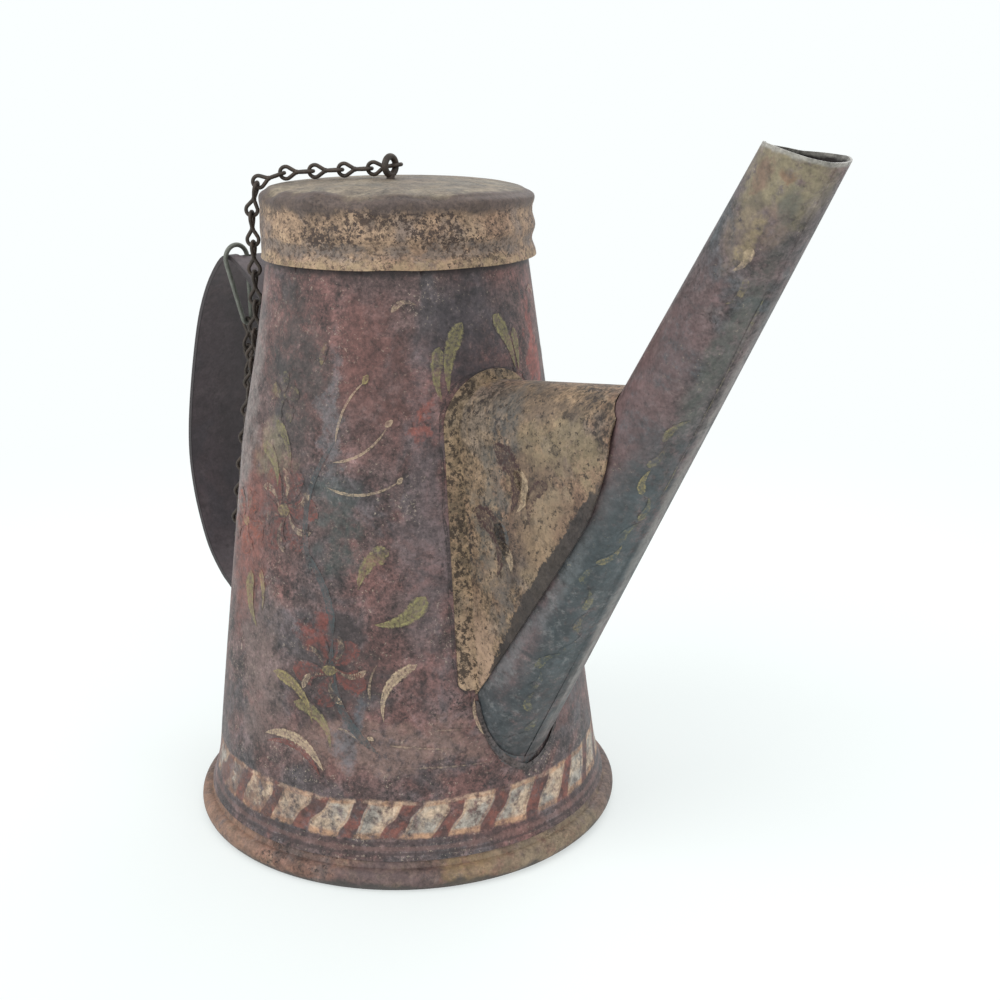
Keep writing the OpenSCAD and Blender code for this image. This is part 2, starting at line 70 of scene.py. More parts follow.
def spout_r(along):
    """Outer radius of the spout at a distance along it, in mm."""
    return SPOUT_ROOT_R + (SPOUT_MOUTH_R - SPOUT_ROOT_R) * along / SPOUT_LEN


def round_place(x, y):
    """Degrees round an upright axis, and the distance from it."""
    return math.degrees(math.atan2(y, x)), math.hypot(x, y)


def hump(turn, high, at, half):
    """1 at a place of a round piece, falling smoothly to 0 at half sizes away from it."""
    off = (turn - at[0] + 180) % 360 - 180
    parts = [max(0.0, 1 - abs(d) / h) for d, h in ((off, half[0]), (high - at[1], half[1]))]
    return math.sin(math.pi / 2 * parts[0]) ** 2 * math.sin(math.pi / 2 * parts[1]) ** 2


# How far the near left of the can bellies out, by height, and where round it
BELLY_Z = [22, 34, 50, 63, 90, 112, 133, 142, 150, 165, 185]
BELLY_OUT = [0, 0.5, 0.95, 1.3, 1.85, 2.2, 2.55, 2.4, 1.8, 0.75, 0]
BELLY_TURN = -114
BELLY_HALF = 23


def belly(turn, high):
    return float(np.interp(high, BELLY_Z, BELLY_OUT)) * hump(turn, 0, (BELLY_TURN, 0), (BELLY_HALF, 1))


def add_object(name, data):
    made = bpy.data.objects.new(name, data)
    bpy.context.scene.collection.objects.link(made)
    return made


# ---- camera ----
# Fitted to the photograph from the base, the lid and the spout; the focal length is in its pixels
PHOTO_WIDE = 1000
CAM_AT = Vector((0.3869, -0.2916, 0.2557))
CAM_PITCH = 0.2913
CAM_TURN = math.radians(53) - 0.0709
CAM_ROLL = 0.0026
IMAGE_F = 1422.76
camera = add_object("camera", bpy.data.cameras.new("camera"))
camera.matrix_world = (
    Matrix.Translation(CAM_AT)
    @ Matrix.Rotation(CAM_TURN, 4, "Z")
    @ Matrix.Rotation(math.pi / 2 - CAM_PITCH, 4, "X")
    @ Matrix.Rotation(-CAM_ROLL, 4, "Z")
)
camera.data.sensor_width = 36
camera.data.lens = IMAGE_F * camera.data.sensor_width / PHOTO_WIDE
camera.data.clip_start = 0.01
bpy.context.scene.camera = camera
bpy.context.scene.view_settings.view_transform = "Standard"


# ---- nodes ----
def srgb(text):
    """Linear colour from a hex code."""
    parts = [int(text[i:i + 2], 16) / 255 for i in (1, 3, 5)]
    return (*[c / 12.92 if c <= 0.04045 else ((c + 0.055) / 1.055) ** 2.4 for c in parts], 1.0)


# How a kind of node is mostly set here, and which of its outputs is mostly taken
USUAL = {
    "Mix": (dict(data_type="RGBA"), 2),
    "MapRange": (dict(interpolation_type="SMOOTHSTEP"), 0),
    "TexNoise": (dict(noise_dimensions="4D"), 0),
}
EVERY = slice(None)


def put(tree, kind, inputs=(), out=None, **props):
    """Adds a shader node, feeds it, and returns the output asked for.

    A second word in kind is the node's operation or its way of blending.
    """
    kind, _, mode = kind.partition(" ")
    usual_props, usual_out = USUAL.get(kind, ({}, 0))
    made = tree.nodes.new("ShaderNode" + kind)
    for key, value in {**usual_props, **props}.items():
        setattr(made, key, value)
    if mode:
        setattr(made, "blend_type" if kind == "Mix" else "operation", mode)
    for key, value in inputs.items() if isinstance(inputs, dict) else enumerate(inputs):
        if isinstance(value, bpy.types.NodeSocket):
            tree.links.new(value, made.inputs[key])
        else:
            made.inputs[key].default_value = value
    return made.outputs[usual_out if out is None else out] if made.outputs else None


def sized(where, mm, seed=0, detail=4.0, rough=0.55, swirl=0.0):
    """Inputs of a noise with features of about that many millimetres."""
    return {"Vector": where, "W": float(seed), "Scale": 1 / (mm * MM), "Detail": detail,
            "Roughness": rough, "Distortion": swirl}


def rise(value, low, high, top=1.0):
    """Inputs of a range: 0 below low, smoothly up to top above high, or down if low is above high."""
    return (value, min(low, high), max(low, high), *((0.0, top) if low < high else (top, 0.0)))


def sway(tree, where, by, *grit):
    """A noise that swings about 0, by wide in all; grit is what sized takes."""
    return put(tree, "Math MULTIPLY",
               (put(tree, "Math SUBTRACT", (put(tree, "TexNoise", sized(where, *grit)), 0.5)), by))


def span(tree, a, b):
    """Distance of a place that lies a and b off, square to each other."""
    squares = [put(tree, "Math MULTIPLY", (leg, leg)) for leg in (a, b)]
    return put(tree, "Math SQRT", (put(tree, "Math ADD", squares),))


def new_material(name):
    """A material with an empty tree, and the place on its piece in object coordinates."""
    made = bpy.data.materials.new(name)
    made.use_nodes = True
    tree = made.node_tree
    tree.nodes.clear()
    return made, tree, put(tree, "TexCoord", out=3)


def finish_material(tree, colour, rough, height, relief=0.00015, metal=0.0):
    """Closes a material: colour, roughness and a height for its fine relief, in metres."""
    bump = put(tree, "Bump", {"Strength": 0.6, "Distance": relief, "Height": height})
    shader = put(
        tree, "BsdfPrincipled",
        {"Base Color": colour, "Roughness": rough, "Metallic": metal, "Normal": bump,
         "Coat Weight": 0.0, "Coat Roughness": 0.35, "Specular IOR Level": 0.5},
    )
    put(tree, "OutputMaterial", (shader,))


# ---- worn paint ----
def mottled(tree, where, colour, seed, depth):
    """A colour with light and dark mottle, 8, 2.6 and 0.9 mm wide."""
    total = 1.0
    for i, (mm, weight) in enumerate(((8.0, 1.9), (2.6, 2.1), (0.9, 2.0))):
        total = put(tree, "Math ADD", (total, sway(tree, where, weight * depth, mm, seed + 20 + i, 4, 0.65)))
    return put(tree, "Mix MULTIPLY", {0: 1.0, 6: colour, 7: put(tree, "Math MAXIMUM", (total, 0.25))})


def worn(tree, where, tones, seed, busy=0.0):
    """Old brushed paint: clouds of tone, haze, fine mottle, pale flecks and dark pits.

    busy adds to the pits where it is above 0. Returns colour, roughness and height.
    """
    ground, warm, cool, haze, pale, dark = [srgb(t) for t in tones["tones"]]
    size = tones["patch"]
    cloud = put(tree, "TexNoise", sized(where, size, seed, 5, 0.6, 0.6))
    cloud = put(tree, "MapRange", rise(cloud, 0.46, 0.6, tones["warm"]))
    colour = put(tree, "Mix", {0: cloud, 6: ground, 7: warm})
    cloud = put(tree, "TexNoise", sized(where, size * 0.8, seed + 3, 5, 0.62, 0.8))
    cloud = put(tree, "MapRange", rise(cloud, 0.49, 0.6, tones["cool"]))
    colour = put(tree, "Mix", {0: cloud, 6: colour, 7: cool})
    smoke = put(tree, "TexNoise", sized(where, size * 0.3, seed + 5, 8, 0.68, 0.3))
    hazy = put(tree, "MapRange", rise(smoke, 0.5, 0.68, tones["haze"]))
    colour = put(tree, "Mix", {0: hazy, 6: colour, 7: haze})
    colour = mottled(tree, where, colour, seed, tones["depth"])
    where_worn = sway(tree, where, 1.0, 18, seed + 8, 3, 0.6)
    pits = put(tree, "TexNoise", sized(where, tones["pit"], seed + 9, 5, 0.75))
    pits = put(tree, "Math ADD", (pits, put(tree, "Math MULTIPLY", (where_worn, 0.5))))
    pits = put(tree, "Math ADD", (pits, busy))
    pit = put(tree, "MapRange", rise(pits, tones["pit_at"], tones["pit_at"] + 0.06))
    colour = put(tree, "Mix", {0: pit, 6: colour, 7: dark})
    flecks = put(tree, "TexNoise", sized(where, 0.9, seed + 11, 3, 0.7))
    flecks = put(tree, "Math ADD", (flecks, put(tree, "Math MULTIPLY", (where_worn, -0.35))))
    fleck = put(tree, "MapRange", rise(flecks, tones["fleck_at"], tones["fleck_at"] + 0.05, 0.7))
    colour = put(tree, "Mix", {0: put(tree, "Math MULTIPLY", (fleck, 0.7)), 6: colour, 7: pale})
    rough = put(tree, "Math ADD", (tones["rough"], put(tree, "Math MULTIPLY", (smoke, 0.25))))
    fine = put(tree, "TexNoise", sized(where, 1.6, seed + 7, 6, 0.7))
    return colour, rough, put(tree, "Math SUBTRACT", (put(tree, "Math MULTIPLY", (fine, 0.6)), pit))


# Tones in order: ground, warm cloud, cool cloud, haze, pale fleck, dark pit. Sizes in mm: patch for
# the clouds, pit for the pits. depth is how strong the mottle is, rough the least roughness.
CAN = dict(tones=["#52413f", "#613f3a", "#3f3f42", "#716160", "#a89a88", "#2b2424"], patch=38,
           warm=0.65, cool=0.65, haze=0.45, pit=1.3, pit_at=0.62, fleck_at=0.62, rough=0.42, depth=1.45)
SPOUT = dict(tones=["#504747", "#5e4746", "#3f4548", "#736965", "#a0967e", "#272323"], patch=34,
             warm=0.7, cool=0.8, haze=0.5, pit=1.4, pit_at=0.64, fleck_at=0.64, rough=0.40, depth=1.35)
LID = dict(tones=["#917861", "#7f624f", "#6a605c", "#a89076", "#bcab8a", "#3b2d26"], patch=22,
           warm=0.6, cool=0.6, haze=0.6, pit=1.3, pit_at=0.545, fleck_at=0.68, rough=0.5, depth=1.0)
LID_TOP = dict(tones=["#7b6e5c", "#675a4d", "#625d54", "#8f8470", "#aa9f88", "#3a332e"], patch=26,
               warm=0.7, cool=0.6, haze=0.5, pit=1.3, pit_at=0.62, fleck_at=0.68, rough=0.5, depth=1.0)
BRACE = dict(tones=["#77634e", "#694f41", "#585450", "#88745d", "#a99978", "#2f2622"], patch=20,
             warm=0.6, cool=0.5, haze=0.6, pit=1.5, pit_at=0.545, fleck_at=0.68, rough=0.5, depth=1.6)
BEAD = dict(tones=["#63514a", "#75503f", "#4d4949", "#85745f", "#a7977c", "#2b2321"], patch=24,
            warm=0.6, cool=0.6, haze=0.6, pit=1.0, pit_at=0.60, fleck_at=0.68, rough=0.5, depth=1.1)
HANDLE = dict(tones=["#4f4548", "#5a4a4b", "#454146", "#6b6062", "#857a70", "#262222"], patch=36,
              warm=0.5, cool=0.5, haze=0.5, pit=1.0, pit_at=0.72, fleck_at=0.74, rough=0.42, depth=0.5)
TIN = dict(tones=["#6d645c", "#6a5346", "#5d5c5b", "#857b70", "#9a9185", "#2e2724"], patch=24,
           warm=0.6, cool=0.5, haze=0.5, pit=1.0, pit_at=0.63, fleck_at=0.74, rough=0.45, depth=0.8)
SOLDER = dict(tones=["#4a4342", "#57453f", "#3d4043", "#635855", "#9a8c7a", "#221e1d"], patch=12,
              warm=0.6, cool=0.5, haze=0.5, pit=1.0, pit_at=0.56, fleck_at=0.66, rough=0.5, depth=1.2)


def patches(tree, where, sheet, colour, spots, seed):
    """Soft worn clouds of colour, some of them painted highlights, at given places of a flat sheet, their edges
    adrift by noise.
    """
    drift = put(tree, "TexNoise", {"Vector": where, "W": float(seed), "Scale": 1 / (11 * MM), "Detail": 6.0,
                                   "Roughness": 0.65}, out=1)
    drift = put(tree, "VectorMath SUBTRACT", (drift, (0.5, 0.5, 0.5)))
    drift = put(tree, "VectorMath MULTIPLY", (drift, (38, 38, 0)))
    place = put(tree, "VectorMath ADD", (sheet, drift))
    wear = put(tree, "MapRange", rise(put(tree, "TexNoise", sized(where, 2.6, seed + 1, 6, 0.7)), 0.3, 0.55))
    for (turn, high), (wide, tall), hexa, strength in spots:
        off = put(tree, "VectorMath SUBTRACT", (place, (turn, high, 0)))
        off = put(tree, "VectorMath MULTIPLY", (off, (1 / wide, 1 / tall, 0)))
        far = put(tree, "VectorMath LENGTH", (off,), out=1)
        amount = put(tree, "Math MULTIPLY", (put(tree, "MapRange", rise(far, 1.35, 0.55, strength)), wear))
        colour = put(tree, "Mix", {0: amount, 6: colour, 7: srgb(hexa)})
    return colour


# ---- can and bead ----
# Clouds of tone on the can, and painted sheen: the pale streak at -63 degrees and the pale band at -112 degrees
# near the left edge are painted highlights. Each has place (degrees round, height), half sizes, colour,
# strength
CAN_CLOUDS_AND_SHEEN = [
    ((-101, 108), (9, 36), "#78493f", 0.7), ((-82, 166), (17, 28), "#3d3937", 0.7),
    ((-47, 168), (13, 24), "#65433d", 0.6), ((-63, 150), (4, 26), "#696a6d", 0.45),
    ((-9, 176), (20, 18), "#373135", 0.75), ((-60, 120), (8, 15), "#3a4441", 0.6),
    ((-58, 70), (14, 20), "#352c2b", 0.7), ((-66, 84), (6, 7), "#75392f", 0.7),
    ((-29, 118), (8, 56), "#6b5c5d", 0.45), ((-42, 47), (34, 8), "#84695f", 0.6),
    ((31, 166), (5, 14), "#8f4a40", 0.75), ((-53, 50), (5, 9), "#565d64", 0.6),
    ((-88, 64), (10, 26), "#7a6761", 0.5), ((-112, 150), (9, 40), "#857c77", 0.6),
    ((-30, 152), (3.5, 4), "#8a4638", 0.6), ((26, 62), (16, 24), "#4f5155", 0.65),
    ((-82, 121), (14, 16), "#3f3431", 0.55), ((-92, 138), (10, 8), "#80765f", 0.5),
    ((60, 150), (22, 30), "#3d3937", 0.6), ((84, 100), (16, 30), "#6f473f", 0.6),
    ((140, 120), (30, 40), "#64534f", 0.6), ((-150, 70), (26, 30), "#443b3b", 0.6),
    ((178, 150), (24, 26), "#595b5e", 0.5),
]
BEAD_CLOUDS = [
    ((-104, 5), (26, 9), "#8c6b57", 0.75), ((-48, 5), (14, 8), "#5a4848", 0.7),
    ((-22, 6), (9, 7), "#8a7450", 0.6), ((4, 5), (24, 9), "#87765f", 0.75), ((100, 5), (40, 9), "#5c4c49", 0.6),
]
BAND_LOW = 15.7
BAND_HIGH = 28.9
BAND_COUNT = 27
# Lines under the band, painted shade and painted highlight of the ridges there and a dark line at the joint
# above the bead: height, half width, colour, strength
RIDGE_SHADING_LINES = ((14.6, 0.5, "#3f3030", 0.5), (12.8, 0.7, "#7a5a53", 0.35), (11.2, 0.4, "#382b2a", 0.6))


def can_sheet(tree, where):
    """Degrees round the can and height in mm, as a flat place."""
    x, y, z = put(tree, "SeparateXYZ", (where,), out=EVERY)
    turn = put(tree, "Math MULTIPLY", (put(tree, "Math ARCTAN2", (y, x)), 360 / TAU))
    return put(tree, "CombineXYZ", (turn, put(tree, "Math DIVIDE", (z, MM))))


def can_surface(tree, where):
    """Brushed paint on tinplate, satin from handling: maroon under soot and rubbed clouds, with painted sheen
    among the clouds and painted shade on the neck under the lid's lip.
    """
    colour, rough, height = worn(tree, where, CAN, 1)
    colour = patches(tree, where, can_sheet(tree, where), colour, CAN_CLOUDS_AND_SHEEN, 15)
    colour = mottled(tree, where, colour, 5, 0.8)
    high = put(tree, "Math DIVIDE", (put(tree, "SeparateXYZ", (where,), out=2), MM))
    high = put(tree, "Math ADD", (high, sway(tree, where, 5.0, 5, 6, 5, 0.7)))
    # Painted shade: a dark band on the neck just under the lid's lip
    lip_shade = put(tree, "MapRange", rise(high, 194.6, 196.8, 0.7))
    colour = put(tree, "Mix", {0: lip_shade, 6: colour, 7: srgb("#2b2323")})
    return rope_band(tree, where, colour), rough, height


def rope_band(tree, where, colour):
    """Pale lozenges between brick diagonals that lean and curl like an S."""
    x, y, z = put(tree, "SeparateXYZ", (where,), out=EVERY)
    wobble = sway(tree, where, 1.0, 13, 31, 1)
    fray = sway(tree, where, 0.12, 1.6, 32, 4, 0.7)
    high = put(tree, "Math DIVIDE", (z, MM))
    up = put(tree, "Math DIVIDE", (put(tree, "Math SUBTRACT", (high, BAND_LOW)), BAND_HIGH - BAND_LOW))
    up = put(tree, "Math ADD", (up, put(tree, "Math ADD", (put(tree, "Math MULTIPLY", (wobble, 0.2)), fray))))
    turn = put(tree, "Math DIVIDE", (put(tree, "Math ARCTAN2", (y, x)), TAU))
    curl = put(tree, "Math MULTIPLY", (put(tree, "Math SUBTRACT", (up, 0.5)), TAU * 0.42))
    curl = put(tree, "Math MULTIPLY", (put(tree, "Math SINE", (curl,)), 0.15))
    lean = put(tree, "Math ADD", (curl, put(tree, "Math MULTIPLY", (up, 0.12))))
    lean = put(tree, "Math ADD", (lean, put(tree, "Math MULTIPLY", (wobble, 0.5))))
    phase = put(tree, "Math ADD", (put(tree, "Math MULTIPLY", (turn, -BAND_COUNT)), lean))
    step = put(tree, "Math ABSOLUTE", (put(tree, "Math SUBTRACT", (put(tree, "Math FRACT", (phase,)), 0.5)),))
    step = put(tree, "Math ADD", (step, put(tree, "Math MULTIPLY", (fray, 0.35))))

    blue = put(tree, "MapRange", rise(put(tree, "TexNoise", sized(where, 14, 34, 5, 0.6)), 0.46, 0.56, 0.8))
    lozenge = put(tree, "Mix", {0: blue, 6: srgb("#b7a18a"), 7: srgb("#94918a")})
    edge = put(tree, "Math ABSOLUTE", (put(tree, "Math SUBTRACT", (step, 0.28)),))
    rim, top_rim = put(tree, "MapRange", rise(up, 0.2, 0.1)), put(tree, "MapRange", rise(up, 0.82, 0.91))
    rim = put(tree, "Math MAXIMUM", (rim, top_rim))
    rim = put(tree, "Math MAXIMUM", (rim, put(tree, "MapRange", rise(edge, 0.04, 0.01, 0.5))))
    lozenge = put(tree, "Mix", {0: rim, 6: lozenge, 7: srgb("#a98468")})
    brown = put(tree, "MapRange", rise(put(tree, "TexNoise", sized(where, 6, 35, 5)), 0.45, 0.56))
    brick = put(tree, "Mix", {0: brown, 6: srgb("#76463c"), 7: srgb("#4d3430")})
    painted = put(tree, "Mix", {0: put(tree, "MapRange", rise(step, 0.30, 0.35)), 6: lozenge, 7: brick})

    brim = put(tree, "MapRange", rise(put(tree, "TexNoise", sized(where, 4, 38, 5)), 0.42, 0.54, 0.7))
    brim = put(tree, "Math MULTIPLY", (put(tree, "MapRange", rise(up, 0.86, 0.93)), brim))
    painted = put(tree, "Mix", {0: brim, 6: painted, 7: srgb("#b39a84")})
    left = put(tree, "MapRange", rise(put(tree, "Math MULTIPLY", (turn, 360)), -58, -84))
    stain = put(tree, "MapRange", rise(put(tree, "TexNoise", sized(where, 6, 37, 6, 0.65)), 0.44, 0.56, 0.75))
    painted = put(tree, "Mix", {0: put(tree, "Math MULTIPLY", (left, stain)), 6: painted, 7: srgb("#6a473a")})
    painted = mottled(tree, where, painted, 36, 0.8)

    above_low, below_high = put(tree, "MapRange", rise(up, -0.03, 0.05)), put(tree, "MapRange",
                                                                              rise(up, 1.03, 0.95))
    inside = put(tree, "Math MULTIPLY", (above_low, below_high))
    wear = put(tree, "MapRange", rise(put(tree, "TexNoise", sized(where, 3.0, 33, 7, 0.7)), 0.33, 0.58, 0.95))
    colour = put(tree, "Mix", {0: put(tree, "Math MULTIPLY", (inside, wear)), 6: colour, 7: painted})
    # Painted shade and highlight lines for the ridges under the band, and a dark joint line
    for line, half, hexa, strength in RIDGE_SHADING_LINES:
        off = put(tree, "Math SUBTRACT", (put(tree, "Math ADD", (high, wobble)), line))
        ridge_shading = put(tree, "MapRange",
                     rise(put(tree, "Math ABSOLUTE", (off,)), half * 1.5, half * 0.5, strength))
        colour = put(tree, "Mix", {0: ridge_shading, 6: colour, 7: srgb(hexa)})
    return colour


def bead_surface(tree, where):
    """Paint rubbed brown to the tin, sandy on the near left and by the spout, with painted shade darkening its
    underside.
    """
    colour, rough, height = worn(tree, where, BEAD, 71)
    colour = patches(tree, where, can_sheet(tree, where), colour, BEAD_CLOUDS, 75)
    colour = mottled(tree, where, colour, 77, 0.6)
    # Painted shade: the bead goes dark on its underside, towards the floor
    low = put(tree, "SeparateXYZ", (where,), out=2)
    low = put(tree, "Math ADD", (low, sway(tree, where, 12 * MM, 9, 78, 5)))
    underside_shade = put(tree, "MapRange", rise(low, 3.2 * MM, 1.2 * MM, 0.75))
    return put(tree, "Mix", {0: underside_shade, 6: colour, 7: srgb("#3b3835")}), rough, height


# ---- spout ----
# Clouds on the spout, and the pale strip at 9 degrees along the side away from the can, which is a painted
# highlight: place (degrees round it, mm along it), half sizes, colour, strength
SPOUT_CLOUDS_AND_HIGHLIGHT = [
    ((-95, 120), (48, 46), "#604a49", 0.7), ((-25, 60), (44, 62), "#3d474a", 0.8),
    ((-40, -5), (50, 26), "#3d4346", 0.8), ((-75, 30), (22, 26), "#57494a", 0.6),
    ((-60, 92), (16, 22), "#414749", 0.6), ((-75, 200), (70, 15), "#80765d", 0.85),
    ((-30, 150), (18, 34), "#4e524c", 0.6), ((-84, 178), (26, 9), "#75675a", 0.6),
    ((-70, 177), (12, 4), "#90805f", 0.6), ((-88, 184), (14, 4), "#897a60", 0.5),
    ((9, 70), (10, 90), "#87807a", 0.5), ((-48, 45), (15, 55), "#30383b", 0.55),
    ((-84, 18), (16, 20), "#6e7172", 0.45), ((-66, 58), (10, 20), "#6b6f70", 0.4),
    ((-50, 186), (20, 6), "#7b675b", 0.6), ((-98, 196), (14, 5), "#6a4f45", 0.65),
    ((-46, 192), (13, 8), "#56564f", 0.75), ((-66, 201), (11, 3), "#74503f", 0.55),
    ((-84, 189), (12, 4), "#5c5348", 0.6), ((120, 100), (60, 60), "#574a48", 0.6),
]


def spout_places(tree, where):
    """Degrees round the spout's axis, millimetres along it, and millimetres out from it."""
    from_root = put(tree, "VectorMath SUBTRACT", (where, SPOUT_ROOT * MM))
    along, side = [put(tree, "Math DIVIDE", (put(tree, "VectorMath DOT_PRODUCT", (from_root, way), out=1), MM))
                   for way in (SPOUT_AXIS, SPOUT_ACROSS)]
    deep = put(tree, "Math DIVIDE", (put(tree, "SeparateXYZ", (where,), out=1), MM))
    turn = put(tree, "Math MULTIPLY", (put(tree, "Math ARCTAN2", (deep, side)), 360 / TAU))
    return turn, along, span(tree, side, deep)


def spout_surface(tree, where):
    """The can's paint gone slate with soot and oil, a painted highlight along the side away from the can,
    scuffed low down, bare tin at the mouth's edge.
    """
    turn, along, out = spout_places(tree, where)
    colour, rough, height = worn(tree, where, SPOUT, 21)
    colour = patches(tree, where, put(tree, "CombineXYZ", (turn, along)), colour, SPOUT_CLOUDS_AND_HIGHLIGHT, 31)
    colour = mottled(tree, where, colour, 25, 0.5)
    low = put(tree, "MapRange", rise(along, 95, 40))
    scuffs = put(tree, "MapRange", rise(put(tree, "TexNoise", sized(where, 3.2, 29, 7, 0.75)), 0.52, 0.66, 0.6))
    colour = put(tree, "Mix", {0: put(tree, "Math MULTIPLY", (low, scuffs)), 6: colour, 7: srgb("#7d7d7c")})
    stains = put(tree, "MapRange", rise(put(tree, "TexNoise", sized(where, 7, 30, 6, 0.7)), 0.5, 0.62, 0.6))
    colour = put(tree, "Mix", {0: put(tree, "Math MULTIPLY", (low, stains)), 6: colour, 7: srgb("#2a3033")})
    narrower = put(tree, "Math MULTIPLY", (along, (SPOUT_ROOT_R - SPOUT_MOUTH_R) / SPOUT_LEN))
    inwards = put(tree, "Math SUBTRACT", (put(tree, "Math SUBTRACT", (SPOUT_ROOT_R, narrower)), out))
    inside = put(tree, "MapRange", rise(inwards, 0.3, 0.6))
    colour = put(tree, "Mix", {0: inside, 6: colour, 7: srgb("#2b2624")})
    bare = put(tree, "Attribute", out=2, attribute_name="bare_edge")
    bare = put(tree, "MapRange", rise(bare, 0.25, 0.7, 0.8))
    tin_grey = mottled(tree, where, srgb("#96938c"), 27, 0.9)
    return put(tree, "Mix", {0: bare, 6: colour, 7: tin_grey}), rough, height


# ---- brace ----
# Clouds on the brace: place (mm out from the can's axis, height), half sizes, colour, strength
BRACE_CLOUDS = [
    ((88, 141), (9, 11), "#5b4a40", 0.6), ((94, 131), (8, 8), "#93826a", 0.6),
    ((79, 116), (8, 12), "#54453d", 0.6), ((88, 108), (7, 7), "#8f7c62", 0.6),
    ((104, 124), (10, 14), "#6d5344", 0.6), ((84, 162), (22, 5), "#594c42", 0.6),
    ((62, 74), (10, 14), "#ac9079", 0.85), ((72, 150), (9, 12), "#575552", 0.65),
    ((66, 122), (6, 20), "#605e59", 0.5), ((98, 152), (18, 7), "#8a7a5f", 0.6),
    ((92, 118), (10, 14), "#8d765d", 0.6), ((74, 98), (5, 12), "#5a5450", 0.6),
]


def brace_surface(tree, where):
    """Sand paint: rust specks thickest on the flange, a painted shadow along the edge by the spout, a peach
    tip.
    """
    x, y, z = [put(tree, "Math DIVIDE", (part, MM)) for part in put(tree, "SeparateXYZ", (where,), out=EVERY)]
    wall = put(tree, "Math ADD", (put(tree, "Math MULTIPLY", (z, -TAPER)), NECK_R + TAPER * NECK_Z))
    flange = put(tree, "MapRange", rise(put(tree, "Math SUBTRACT", (span(tree, x, y), wall)), 2.6, 1.4))
    colour, rough, height = worn(tree, where, BRACE, 61, put(tree, "Math MULTIPLY", (flange, 0.03)))
    colour = patches(tree, where, put(tree, "CombineXYZ", (x, z)), colour, BRACE_CLOUDS, 65)
    buff = mottled(tree, where, srgb("#a48d6e"), 68, 1.2)
    colour = put(tree, "Mix", {0: put(tree, "Math MULTIPLY", (flange, 0.3)), 6: colour, 7: buff})
    specks = put(tree, "TexNoise", sized(where, 1.9, 69, 5, 0.75))
    specks = put(tree, "Math ADD", (specks, put(tree, "Math MULTIPLY", (flange, 0.065))))
    specks = put(tree, "MapRange", rise(specks, 0.568, 0.605, 0.9))
    colour = put(tree, "Mix", {0: specks, 6: colour, 7: srgb("#33281f")})

    # Painted shadow along the brace's edge by the spout: how far a place is from the spout's axis, made ragged,
    # and most by the middle of the brace
    across = put(tree, "Math MULTIPLY", (put(tree, "Math SUBTRACT", (x, SPOUT_ROOT.x)), math.cos(SPOUT_LEAN)))
    down = put(tree, "Math MULTIPLY", (put(tree, "Math SUBTRACT", (z, SPOUT_ROOT.z)), math.sin(SPOUT_LEAN)))
    edge = put(tree, "Math SUBTRACT", (across, down))
    edge = put(tree, "Math ADD", (edge, sway(tree, where, 9.0, 4, 67, 6, 0.7)))
    off_middle = put(tree, "Math ABSOLUTE", (put(tree, "Math SUBTRACT", (z, 102)),))
    edge = put(tree, "Math SUBTRACT", (edge, put(tree, "Math MULTIPLY", (off_middle, 0.1))))
    edge = put(tree, "MapRange", rise(edge, -3.3, -2.7, 0.92))
    edge = put(tree, "Math MULTIPLY", (put(tree, "MapRange", rise(z, 150, 138)), edge))
    # The dark tone of that painted shadow
    spout_edge_shadow = mottled(tree, where, srgb("#2f2a28"), 66, 1.3)
    return put(tree, "Mix", {0: edge, 6: colour, 7: spout_edge_shadow}), rough, height


# ---- lid and handle ----
def lid_surface(tree, where):
    """Rust-specked buff paint on the skirt, a dark mauve shoulder, and a dusty taupe top."""
    x, y, z = [put(tree, "Math DIVIDE", (part, MM)) for part in put(tree, "SeparateXYZ", (where,), out=EVERY)]
    swell = sway(tree, where, 1.0, 12, 45, 5, 0.65, 0.5)
    high = put(tree, "Math ADD", (z, put(tree, "Math MULTIPLY", (swell, 10.0))))
    colour, rough, height = worn(tree, where, LID, 41)
    groove, below = put(tree, "MapRange", rise(high, 200.6, 202.4)), put(tree, "MapRange",
                                                                         rise(high, 206.4, 204.2))
    groove = put(tree, "Math MULTIPLY", (groove, below))
    dusty = put(tree, "MapRange", rise(put(tree, "TexNoise", sized(where, 10, 50, 6, 0.7)), 0.4, 0.54))
    groove = put(tree, "Math MULTIPLY", (groove, dusty))
    dust = mottled(tree, where, srgb("#635b57"), 48, 1.0)
    colour = put(tree, "Mix", {0: put(tree, "Math MULTIPLY", (groove, 0.6)), 6: colour, 7: dust})
    specks = put(tree, "TexNoise", sized(where, 1.2, 46, 5, 0.75))
    specks = put(tree, "Math ADD", (specks, sway(tree, where, 0.22, 9, 52, 4)))
    specks = put(tree, "MapRange", rise(specks, 0.53, 0.575, 0.85))
    colour = put(tree, "Mix", {0: specks, 6: colour, 7: srgb("#46352b")})
    shade = mottled(tree, where, srgb("#4d413d"), 47, 0.9)
    colour = put(tree, "Mix", {0: put(tree, "MapRange", rise(high, 213.0, 216.4, 0.9)), 6: colour, 7: shade})
    lip = put(tree, "MapRange", rise(put(tree, "TexNoise", sized(where, 2.4, 49, 6, 0.7)), 0.42, 0.56, 0.5))
    lip = put(tree, "Math MULTIPLY", (put(tree, "MapRange", rise(high, 201.4, 199.4)), lip))
    colour = put(tree, "Mix", {0: lip, 6: colour, 7: srgb("#a8916f")})
    out = put(tree, "Math ADD", (span(tree, x, y), put(tree, "Math MULTIPLY", (swell, 14.0))))
    on_top = put(tree, "MapRange", rise(out, 43.6, 40.2))
    on_top = put(tree, "Math MULTIPLY", (on_top, put(tree, "MapRange", rise(z, 216.2, 217.4))))
    return put(tree, "Mix", {0: on_top, 6: colour, 7: worn(tree, where, LID_TOP, 51)[0]}), rough, height


